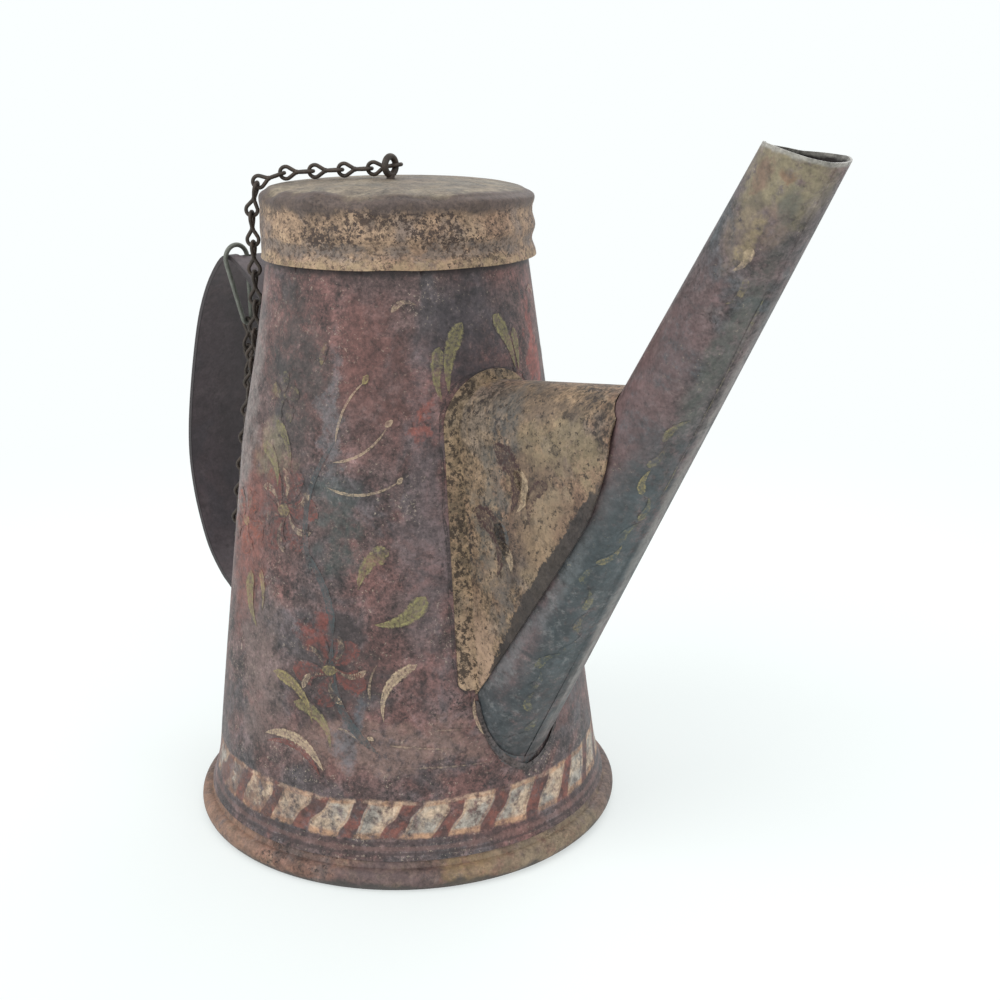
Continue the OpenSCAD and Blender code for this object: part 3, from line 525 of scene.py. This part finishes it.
def handle_surface(tree, where):
    """Dark umber paint, rubbed darker along the edges of the strap, with painted shade darkening it across its
    width towards one side.
    """
    x, y, _ = put(tree, "SeparateXYZ", (where,), out=EVERY)
    aside = put(tree, "Math MULTIPLY", (x, math.cos(HANDLE_SIDE) / MM))
    aside = put(tree, "Math SUBTRACT", (aside, put(tree, "Math MULTIPLY", (y, -math.sin(HANDLE_SIDE) / MM))))
    colour, rough, height = worn(tree, where, HANDLE, 81)
    # Painted shade: the strap darkens across its width towards one side
    shade = put(tree, "MapRange", rise(aside, 11, -14, 0.45))
    colour = put(tree, "Mix", {0: shade, 6: colour, 7: srgb("#1f1b1b")})
    edge = put(tree, "MapRange", rise(put(tree, "Math ABSOLUTE", (aside,)), 14.9, 15.3, 0.7))
    return put(tree, "Mix", {0: edge, 6: colour, 7: srgb("#1f1b1b")}), rough, height


def paint(name, surface):
    made, tree, where = new_material(name)
    finish_material(tree, *surface(tree, where))
    return made


def wire_iron(name, hexes, seed):
    """Iron wire, dull and dark from handling, with a little rust in its hollows."""
    made, tree, where = new_material(name)
    fine = put(tree, "TexNoise", sized(where, 0.5, seed + 1, 4, 0.7))
    patch = put(tree, "MapRange", rise(put(tree, "TexNoise", sized(where, 3, seed, 5, 0.65)), 0.42, 0.62))
    colour = put(tree, "Mix", {0: patch, 6: srgb(hexes[0]), 7: srgb(hexes[1])})
    colour = put(tree, "Mix",
                 {0: put(tree, "MapRange", rise(fine, 0.5, 0.72, 0.5)), 6: colour, 7: srgb(hexes[2])})
    rough = put(tree, "Math ADD", (0.45, put(tree, "Math MULTIPLY", (fine, 0.3))))
    finish_material(tree, colour, rough, fine, 0.1 * MM, metal=0.55)
    return made


can = paint("worn maroon paint with rope band", can_surface)
spout = paint("worn slate and maroon paint", spout_surface)
lid = paint("rust-speckled buff paint", lid_surface)
brace = paint("rust-speckled sand paint", brace_surface)
bead = paint("rubbed brown paint", bead_surface)
handle = paint("dark umber paint", handle_surface)
# Tinplate that was never painted: grey-brown and dull, spotted where the tin has gone
tin = paint("dull old tinplate", lambda tree, where: worn(tree, where, TIN, 91))
# Soft solder brushed over with the can's paint: darker and more pitted than the sheet beside it
solder = paint("painted-over solder", lambda tree, where: worn(tree, where, SOLDER, 95))
chain_iron = wire_iron("dark iron wire", ["#423c37", "#4e443d", "#675a4c"], 101)
hook_iron = wire_iron("grey-green iron wire", ["#6f7169", "#7e8078", "#565249"], 111)

WEARS = {
    "body_shell": can, "foot_ring": bead, "bottom_plate": tin, "neck_collar": tin,
    "lid_skirt": lid, "lid_top": lid, "lid_eye": chain_iron, "spout_tube": spout,
    "spout_solder": solder, "spout_brace": brace, "handle_strap": handle, "chain_hook": hook_iron,
}
for name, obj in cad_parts.items():
    obj.data.materials.clear()
    obj.data.materials.append(WEARS.get(name, chain_iron))


# ---- dented sheet ----
SAME_PLACE = 1e-6
SHARP_ANGLE = math.radians(32)


def beaten(name, body, cuts, moved, rubbed=None):
    """A copy of a sheet piece with more rings, its points moved as the knocks of use have left them.

    rubbed gives each point, before it moves, how bare the edge there is, for the paint to follow.
    """
    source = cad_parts[name]
    work = bmesh.new()
    work.from_mesh(source.data)
    work.transform(source.matrix_world)
    bmesh.ops.remove_doubles(work, verts=work.verts[:], dist=SAME_PLACE)
    for at, normal in cuts:
        bmesh.ops.bisect_plane(work, geom=work.verts[:] + work.edges[:] + work.faces[:], dist=0.1 * SAME_PLACE,
                               plane_co=Vector(at) * MM, plane_no=Vector(normal))
    bare = work.verts.layers.float.new("bare_edge")
    for vert in work.verts:
        vert[bare] = rubbed(vert.co / MM) if rubbed else 0.0
        vert.co = Vector(moved(*(vert.co / MM))) * MM
    mesh = bpy.data.meshes.new(name + "_worn")
    work.to_mesh(mesh)
    work.free()
    mesh.materials.append(source.data.materials[0])
    mesh.polygons.foreach_set("use_smooth", [True] * len(mesh.polygons))
    mesh.set_sharp_from_angle(angle=SHARP_ANGLE)
    obj = add_object(name + "_worn", mesh)
    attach(obj, body)
    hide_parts(name)


def belled(x, y, z):
    """The wall of the can, with its belly on the near left."""
    turn, out = round_place(x, y)
    grown = 1 + belly(turn, z) / out
    return x * grown, y * grown, z


# Knocks in the lid: place (degrees round, height), half sizes, and how far out and up they move the sheet
LID_KNOCKS = [
    ((-125, 198.6), (42, 4.5), (-1.3, 0)), ((-125, 207.6), (42, 4.5), (-0.9, 0)),
    ((-125, 217.5), (42, 6), (-0.8, -0.2)), ((45, 221), (62, 7), (-0.3, -1.0)),
    ((-55, 217.5), (13, 6), (-0.9, -1.1)), ((-20, 217), (12, 6), (-0.9, -1.0)),
    ((-8, 198.8), (10, 5), (0.5, 0.2)), ((-75, 207.6), (15, 4.5), (-0.5, 0)),
    ((-40, 199), (12, 4), (0.2, 0.4)), ((-101, 218), (9, 6), (-0.5, -1.1)),
    ((-73, 218), (8, 6), (0.4, 0.7)), ((-36, 218), (8, 6), (0.4, 0.7)),
    ((10, 207.6), (14, 4.5), (0.4, 0)), ((150, 208), (30, 4.5), (-0.5, 0)),
    ((95, 199), (22, 4.5), (0.4, 0.2)),
]
# Where skirt and top of the lid meet outside, so that both are knocked alike there
LID_SEAM_Z = 214.3
LID_SEAM_OUT = 45.5
# The flange inside the lid, which keeps its seat on the collar
FLANGE_OUT = 44.95
FLANGE_TOP = 217.0
# The knocks fade from the lid's rim in to the calm middle of its top
CALM_OUT = 14
FADE_WIDE = 24


def knocked(x, y, z):
    """The sheet of the lid, with its knocks."""
    turn, out = round_place(x, y)
    if out < FLANGE_OUT and z < FLANGE_TOP:
        return x, y, z
    move_out = sum(hump(turn, z, at, half) * move[0] for at, half, move in LID_KNOCKS)
    move_up = sum(hump(turn, z, at, half) * move[1] for at, half, move in LID_KNOCKS)
    fade = min(1.0, max(0.0, (out - CALM_OUT) / FADE_WIDE))
    new_out = out
    if abs(z - LID_SEAM_Z) < 0.3 and out > 45:
        new_out, z = LID_SEAM_OUT, LID_SEAM_Z
    grown = (new_out + move_out * fade) / max(out, SAME_PLACE)
    return x * grown, y * grown, z + move_up * fade


# How far the cut of the mouth is worn down, in mm, by degrees round the spout
MOUTH_TURN = [-180, -150, -110, -80, -50, -20, 10, 60, 100, 130, 180]
MOUTH_UP = [-1.7, -0.5, -0.2, -0.5, -0.9, -1.0, -0.4, 0.2, -0.9, -1.9, -1.7]
# The square of the cut of the mouth, and how far below it the edge is rubbed bare
MOUTH_NORMAL = Vector((0.1953, 0.0837, 0.9772))
BARE_DEEP = 1.8
# The lap of the spout's seam is beaten nearly flush, within these degrees of the side away from the can
LAP_HALF = 20
LAP_PROUD = 0.1


def nipped(x, y, z):
    """The spout, its mouth worn to a low far corner and a peak on the near left, its lap beaten flush."""
    place = Vector((x, y, z)) - SPOUT_ROOT
    along = place.dot(SPOUT_AXIS)
    side = place.dot(SPOUT_ACROSS)
    turn, out = round_place(side, y)
    near_mouth = min(1.0, max(0.0, (along - 178) / 20)) ** 2
    up = float(np.interp(turn, MOUTH_TURN, MOUTH_UP)) * near_mouth
    proud = out - spout_r(along)
    grown = 0.3 * near_mouth * hump(turn, 0, (-122, 0), (40, 1)) / out
    if abs(turn) < LAP_HALF and proud > LAP_PROUD + 0.02 and 14 < along < 202:
        grown = (LAP_PROUD - proud) / out
    return tuple(Vector((x, y, z)) + up * SPOUT_AXIS + grown * (side * SPOUT_ACROSS + y * SIDEWAYS))


def rubbed_mouth(place):
    """1 at the cut of the mouth, 0 from a little below it."""
    mouth = SPOUT_ROOT + SPOUT_LEN * SPOUT_AXIS
    return max(0.0, 1 + (place - mouth).dot(MOUTH_NORMAL) / BARE_DEEP)


# The lowest solder: how far it runs down, and the degrees round the can of its point
DROP_LONG = 2.8
DROP_TURN = -2


def pointed(x, y, z):
    """The solder round the spout's foot, which runs down to a point."""
    turn, _ = round_place(x, y)
    share = max(0.0, 1 - abs(turn - DROP_TURN) / 15) * min(1.0, max(0.0, (52 - z) / 14))
    return x + (TAPER * DROP_LONG + 0.25) * share, y, z - DROP_LONG * share


# Planes that cut a piece into narrower strips, each a place and the way the plane faces
upright_cuts = [((0, 0, 0), (math.sin(math.radians(turn)), -math.cos(math.radians(turn)), 0))
                for turn in range(0, 180, 4)]
level_cuts = [((0, 0, z), (0, 0, 1)) for z in range(26, 192, 6)]
mouth_cuts = [(SPOUT_ROOT + along * SPOUT_AXIS, SPOUT_AXIS) for along in range(178, 207, 2)]

beaten("spout_solder", "root", [], pointed)
beaten("body_shell", "root", level_cuts + upright_cuts[::2], belled)
beaten("lid_skirt", "lid", upright_cuts, knocked)
beaten("lid_top", "lid", upright_cuts, knocked)
beaten("spout_tube", "root", mouth_cuts, nipped, rubbed_mouth)

# ---- brushwork ----
OLIVE, OCHRE, CREAM, BRICK, ORANGE, TEAL, PLUM, SLATE, SOOT_AND_SHADOW = (
    "#857d52", "#958757", "#b7a184", "#753d34", "#96492f", "#3b4648", "#3d2826", "#4b5153",
    "#241f1f")


def comma_width(t):
    """Half width of a comma stroke along its length: a round head and a thin tail."""
    return math.sqrt(1 - ((0.24 - t) / 0.24) ** 2) if t < 0.24 else (1 - (t - 0.24) / 0.76) ** 0.8


WIDTHS = {
    "comma": comma_width,
    "leaf": lambda t: math.sin(math.pi * t) ** 0.75,
    "line": lambda t: min(1.0, 6 * t, 6 * (1 - t)) * (1 - 0.4 * t),
}


def stroke(kind, start, end, bend, half, hexa, strength):
    """One brush stroke: its ends, how far it bows, its half width in mm, its colour and its cover."""
    return kind, start, end, bend, half, hexa, strength


def ray(at, reach, turn):
    return at[0] + reach * math.cos(turn), at[1] + reach * math.sin(turn)


def blossom(at, reach, petals, hexa, start_turn, strength):
    """Broad comma petals round a middle, each with a thin pale edge stroke, and a dotted eye."""
    strokes = []
    for i in range(petals):
        turn = math.radians(start_turn) + TAU * i / petals
        root = ray(at, 0.18 * reach, turn + 0.7)
        strokes.append(stroke("comma", ray(at, reach, turn), root, 0.2, 0.4 * reach, hexa,
                              strength - 0.15 * (i % 2)))
        strokes.append(stroke("comma", ray(at, 0.98 * reach, turn + 0.3), root, 0.26, 0.1 * reach, CREAM,
                              strength - 0.3 + 0.1 * (i % 3)))
    eye = [(at[0] + side * 0.22 * reach, at[1]) for side in (-1, 1)]
    return strokes + [stroke("leaf", *eye, 0, 0.18 * reach, OCHRE, strength - 0.05)]


# Where the brace's flange ends on the can: degrees round it, and height
FLANGE_EDGE = [(0, 166.2), (-11.3, 164.6), (-17.2, 162), (-20.8, 158.2), (-22.8, 153.9), (-23.9, 145.2),
               (-24.1, 123.1), (-23.7, 94.1), (-23.2, 75), (-22.2, 66.4), (-19, 62.2)]
# Strokes on the can run from place to place: degrees round it and height
CAN_STROKES = [
    stroke("line", (-45, 44), (-60, 82), 0.14, 1.6, TEAL, 0.9),
    stroke("line", (-60, 82), (-77, 113), -0.12, 1.6, TEAL, 0.9),
    stroke("line", (-68, 100), (-60, 146), 0.16, 1.4, TEAL, 0.85),
    stroke("line", (-62, 138), (-42, 150), -0.12, 0.6, CREAM, 0.75),
    stroke("line", (-61, 144), (-50, 164), 0.12, 0.6, CREAM, 0.75),
    stroke("line", (-64, 130), (-38, 133), -0.12, 0.6, CREAM, 0.7),
    stroke("leaf", (-43, 150), (-40, 152), 0, 1.2, CREAM, 0.9),
    stroke("leaf", (-51, 163), (-49, 166), 0, 1.4, OCHRE, 0.9),
    stroke("leaf", (-39, 132), (-37, 134), 0, 1.0, CREAM, 0.8),
    stroke("comma", (-31, 96), (-47, 87), 0.16, 3.4, OLIVE, 1.25),
    stroke("comma", (-42, 111), (-52, 98), -0.16, 3.2, OLIVE, 0.8),
    stroke("comma", (-34, 74), (-44, 55), -0.2, 1.9, CREAM, 1.05),
    stroke("comma", (-73, 58), (-60, 45), 0.22, 2.4, OLIVE, 0.95),
    stroke("comma", (-82, 66), (-66, 52), 0.2, 2.2, OCHRE, 0.9),
    stroke("leaf", (-84, 44), (-62, 37), 0.24, 2.0, CREAM, 1.1),
    stroke("leaf", (-83, 41.6), (-63, 35), 0.24, 1.2, BRICK, 0.95),
    stroke("comma", (-97, 139), (-86, 127), 0.2, 2.8, OLIVE, 0.7),
    stroke("comma", (-90, 148), (-80, 134), 0.16, 2.2, OLIVE, 0.6),
    stroke("comma", (-98, 96), (-92, 78), -0.14, 2.8, OLIVE, 0.9),
    stroke("comma", (-93, 98), (-90, 84), 0.1, 1.5, OCHRE, 0.6),
    stroke("comma", (-68, 168), (-58, 178), 0.22, 1.5, OCHRE, 0.45),
    stroke("comma", (-40, 185), (-30, 187), 0.2, 1.2, CREAM, 0.5),
    stroke("comma", (-12, 181), (-19, 159), -0.12, 3.4, OLIVE, 0.95),
    stroke("comma", (-22, 174), (-22, 157), -0.1, 2.8, OLIVE, 0.75),
    stroke("comma", (3, 182), (13, 164), 0.1, 3.2, OLIVE, 1.0),
    stroke("comma", (14, 177), (15, 163), 0.05, 2.2, OLIVE, 0.9),
    stroke("leaf", (-30, 156), (-33, 150), 0, 1.8, ORANGE, 0.5),
    stroke("line", (-48, 62), (-46, 74), 0.1, 0.5, CREAM, 0.6),
    stroke("line", (-58, 52), (-52, 49), 0.1, 0.5, CREAM, 0.7),
    # Painted shadow: dark lines along both edges of the brace's flange on the can
    *[stroke("line", (side * a[0], a[1]), (side * b[0], b[1]), side * 0.04, 0.75, SOOT_AND_SHADOW, 1.1)
      for side in (1, -1) for a, b in zip(FLANGE_EDGE, FLANGE_EDGE[1:])],
    stroke("line", (-43, 47.5), (-24, 45), 0, 0.4, CREAM, 0.5),
    stroke("line", (-40, 40), (-12, 38.5), 0, 0.4, CREAM, 0.45),
    stroke("line", (-30, 52), (-12, 50), 0, 0.35, CREAM, 0.35),
    stroke("leaf", (-49, 50), (-47, 49), 0, 0.8, CREAM, 1.1),
    stroke("leaf", (-13, 45), (8, 44), -0.42, 2.6, SLATE, 1.3),
    stroke("line", (-14, 46), (-2, 32.6), -0.1, 0.5, SOOT_AND_SHADOW, 1.3),
    stroke("line", (-3, 32.8), (8, 43), -0.1, 0.5, SOOT_AND_SHADOW, 1.3),
    stroke("line", (-17, 61), (-10, 44), -0.16, 0.7, CREAM, 0.95),
    stroke("line", (-18, 63), (-13, 50), -0.1, 0.5, SOOT_AND_SHADOW, 1.0),
    *blossom((-82, 120), 14, 6, BRICK, 20, 0.7),
    *blossom((-61, 71), 12, 5, BRICK, 60, 0.75),
    *blossom((-104, 112), 11, 5, ORANGE, 0, 0.55),
    *blossom((-86, 156), 8, 5, OLIVE, 30, 0.45),
]
# The far side carries the same spray the other way round
CAN_STROKES += [stroke(kind, (-a[0], a[1]), (-b[0], b[1]), -bend, half, hexa, strength)
                for kind, a, b, bend, half, hexa, strength in CAN_STROKES if max(a[0], b[0]) < -25]

# Dabs that wind up the near side of the spout: degrees round it and mm along it
SPOUT_STROKES = [
    stroke("comma", (-36 + 12 * math.sin(1.3 * i), -17 + 9.5 * i),
           (-30 + 12 * math.sin(1.3 * i + 1.1), -8 + 9.5 * i),
           0.15 * (-1) ** i, 1.5, OLIVE if i % 3 else OCHRE, 0.22 + 0.38 * ((i * 7) % 5) / 4)
    for i in range(15)
] + [
    stroke("comma", (-64, 178), (-70, 170), 0.2, 1.8, CREAM, 0.5),
    stroke("comma", (-50, 170), (-58, 161), 0.2, 1.6, OCHRE, 0.3),
    stroke("line", (-16, 168), (-10, 96), 0.02, 1.0, OLIVE, 0.4),
]

# Strokes on the brace: mm out from the can's axis, and height
BRACE_STROKES = [
    stroke("comma", (84, 143), (90, 122), 0.3, 4.6, PLUM, 1.9),
    stroke("comma", (93, 136), (93, 123), 0.34, 3.0, CREAM, 0.7),
    stroke("comma", (73, 122), (82, 101), 0.3, 4.8, PLUM, 1.9),
    stroke("comma", (82, 118), (84, 106), 0.34, 3.2, SLATE, 0.9),
    stroke("leaf", (83, 113), (89, 104), 0.2, 2.2, CREAM, 0.75),
    stroke("comma", (108, 133), (99, 119), -0.24, 3.0, PLUM, 1.1),
    stroke("leaf", (110, 143), (114, 144), 0, 2.0, SOOT_AND_SHADOW, 0.8),
]


# How far the paint of a stroke stands off the sheet, in mm
ON_CAN = 0.08
ON_REST = 0.07


def on_can(turn, high):
    a = math.radians(turn)
    r = can_r(high) + belly(turn, high) + ON_CAN
    return r * math.cos(a), r * math.sin(a), high


def on_spout(turn, along):
    a = math.radians(turn)
    r = spout_r(along) + ON_REST
    return tuple(SPOUT_ROOT + along * SPOUT_AXIS + r * math.cos(a) * SPOUT_ACROSS + r * math.sin(a) * SIDEWAYS)


# The saddle of the brace rises outwards from the can; its cheeks stand wider apart lower down
SADDLE_RISE = math.radians(7)
SADDLE_TOP = 145.8
SADDLE_LIFT = 49.1 * math.sin(SADDLE_RISE)
CHEEK_TOP_Y = 15.2
CHEEK_SPREAD = 4.2
CHEEK_TALL = 125.8


def on_brace(out, high):
    """A place on the near cheek of the saddle."""
    y = -(CHEEK_TOP_Y + CHEEK_SPREAD * (SADDLE_TOP - high) / CHEEK_TALL) - ON_REST
    low = high - SADDLE_LIFT
    return (out * math.cos(SADDLE_RISE) - low * math.sin(SADDLE_RISE), y,
            out * math.sin(SADDLE_RISE) + low * math.cos(SADDLE_RISE))


STROKE_ROWS = 14
STROKE_COLS = 4


def brushwork(name, strokes, place, mm_per_unit, material):
    """One thin mesh of painted strokes lying on a surface.

    place takes a stroke's own units, of which the first is mm_per_unit wide, to a place in mm.
    """
    verts, faces, marks, tints = [], [], [], []
    for kind, start, end, bend, half, hexa, strength in strokes:
        a = Vector((start[0] * mm_per_unit, start[1]))
        run = Vector((end[0] * mm_per_unit, end[1])) - a
        left = Vector((-run.y, run.x))
        first = len(verts)
        for i in range(STROKE_ROWS + 1):
            t = i / STROKE_ROWS
            middle = a + run * t + left * (bend * 4 * t * (1 - t))
            ahead = run + left * (bend * 4 * (1 - 2 * t))
            side = Vector((-ahead.y, ahead.x)).normalized() * half * WIDTHS[kind](min(max(t, 0.001), 0.999))
            for k in range(STROKE_COLS + 1):
                w = 2 * k / STROKE_COLS - 1
                spot = middle + side * w
                verts.append([c * MM for c in place(spot.x / mm_per_unit, spot.y)])
                marks.append((w, t * run.length, strength))
                tints.append(srgb(hexa))
        for i in range(STROKE_ROWS):
            for k in range(STROKE_COLS):
                q = first + i * (STROKE_COLS + 1) + k
                faces.append((q, q + STROKE_COLS + 1, q + STROKE_COLS + 2, q + 1))
    mesh = bpy.data.meshes.new(name)
    mesh.from_pydata(verts, [], faces)
    mesh.attributes.new("stroke", "FLOAT_VECTOR", "POINT").data.foreach_set("vector", np.ravel(marks))
    mesh.attributes.new("tint", "FLOAT_COLOR", "POINT").data.foreach_set("color", np.ravel(tints))
    mesh.polygons.foreach_set("use_smooth", [True] * len(faces))
    mesh.materials.append(material)
    obj = add_object(name, mesh)
    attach(obj, "root")


def brushed_over(name, surface):
    """Worn strokes of tint over a surface that goes on between them."""
    made, tree, where = new_material(name)
    colour, rough, height = surface(tree, where)
    marks = put(tree, "Attribute", out=1, attribute_name="stroke")
    across, along, strength = put(tree, "SeparateXYZ", (marks,), out=EVERY)
    tint = put(tree, "Attribute", out=0, attribute_name="tint")
    sideways, lengthways = put(tree, "Math MULTIPLY", (across, 2.4)), put(tree, "Math MULTIPLY", (along, 0.14))
    bristles = put(tree, "CombineXYZ", (sideways, lengthways, strength))
    streak = put(tree, "TexNoise", {"Vector": bristles, "Scale": 1.6, "Detail": 4.0, "Roughness": 0.6},
                 noise_dimensions="3D")

    aside = put(tree, "Math ABSOLUTE", (across,))
    edge = put(tree, "Math ADD", (aside, sway(tree, where, 1.6, 1.4, 121, 5, 0.7)))
    edge = put(tree, "MapRange", rise(edge, 1.0, 0.66))
    paler_middle = put(tree, "Math ADD", (0.6, put(tree, "MapRange", rise(aside, 0.25, 0.7, 0.4))))
    edge = put(tree, "Math MULTIPLY", (edge, paler_middle))
    kept = put(tree, "TexNoise", sized(where, 2.0, 122, 7, 0.72))
    kept = put(tree, "Math ADD", (kept, sway(tree, where, 0.5, 13, 123, 3)))
    kept = put(tree, "Math ADD", (kept, put(tree, "Math MULTIPLY", (strength, 0.36))))
    holes = put(tree, "MapRange", rise(put(tree, "TexNoise", sized(where, 0.9, 124, 4, 0.75)), 0.58, 0.47, 0.7))
    mask = put(tree, "Math MULTIPLY", (edge, put(tree, "MapRange", rise(kept, 0.58, 0.78))))
    mask = put(tree, "Math MULTIPLY", (mask, put(tree, "Math ADD", (0.3, holes))))
    cover = put(tree, "Math ADD", (0.55, put(tree, "Math MULTIPLY", (strength, 0.4))))
    mask = put(tree, "Math MULTIPLY", (mask, cover), use_clamp=True)
    shade = put(tree, "Math ADD", (0.35, put(tree, "Math MULTIPLY", (streak, 1.2))))
    tint = put(tree, "Mix MULTIPLY", {0: 1.0, 6: tint, 7: shade})
    colour = put(tree, "Mix", {0: mask, 6: colour, 7: tint})
    height = put(tree, "Math ADD", (height, put(tree, "Math MULTIPLY", (mask, 0.5))))
    finish_material(tree, colour, rough, height)
    return made


can_strokes = brushed_over("folk strokes on maroon", can_surface)
spout_strokes = brushed_over("dabs on slate", spout_surface)
brace_strokes = brushed_over("commas on sand", brace_surface)
brushwork("can_brushwork", CAN_STROKES, on_can, 1.0, can_strokes)
brushwork("spout_brushwork", SPOUT_STROKES, on_spout, 0.26, spout_strokes)
brushwork("brace_brushwork", BRACE_STROKES, on_brace, 1.0, brace_strokes)


# ---- floor and light ----
FLOOR_HEX = "#ebf0ed"
SKY_HEX = "#fbffff"
LIT_PLACE = Vector((0.02, 0, 0.1))


def pale_floor():
    """A pale floor, lit near the lamp so that its shadow shows, though partly glowing there too, which lightens
    that shadow as painted light, and as bright as the sky far from it.
    """
    size = 8.0
    mesh = bpy.data.meshes.new("floor")
    mesh.from_pydata([(-size, -size, 0), (size, -size, 0), (size, size, 0), (-size, size, 0)], [],
                     [(0, 1, 2, 3)])
    floor = add_object("floor", mesh)
    made, tree, where = new_material("pale studio floor")
    far = put(tree, "VectorMath LENGTH", (where,), out=1)
    lit = put(tree, "BsdfDiffuse", {"Color": srgb(FLOOR_HEX)})
    glow = put(tree, "Emission", {"Color": srgb(SKY_HEX), "Strength": 1.0})
    # At least 0.45 of the floor glows, even under the lamp: painted light that lightens its shadow
    share = put(tree, "Math MAXIMUM", (0.45, put(tree, "MapRange", rise(far, 0.14, 0.6))))
    put(tree, "OutputMaterial", (put(tree, "MixShader", (share, lit, glow)),))
    mesh.materials.append(made)


def soft_light(name, at, size, power):
    data = bpy.data.lights.new(name, "AREA")
    data.shape = "DISK"
    data.size = size
    data.energy = power
    light = add_object(name, data)
    light.location = at
    light.rotation_mode = "QUATERNION"
    light.rotation_quaternion = (LIT_PLACE - Vector(at)).to_track_quat("-Z", "Y")


def sky():
    """Bright where the camera sees it, a little cooler and dimmer where it lights the lamp."""
    world = bpy.data.worlds.new("soft sky")
    bpy.context.scene.world = world
    world.use_nodes = True
    tree = world.node_tree
    tree.nodes.clear()
    seen = put(tree, "Background", {"Color": srgb(SKY_HEX), "Strength": 1.0})
    shed = put(tree, "Background", {"Color": srgb("#f4f8fa"), "Strength": 0.95})
    put(tree, "OutputWorld", (put(tree, "MixShader", (put(tree, "LightPath"), shed, seen)),))


pale_floor()
sky()
soft_light("key", (-0.15, -0.95, 0.95), 1.1, 7.5)
soft_light("fill", (0.95, -0.1, 0.7), 0.9, 2.6)
soft_light("back", (-0.3, 0.9, 0.9), 1.1, 4)
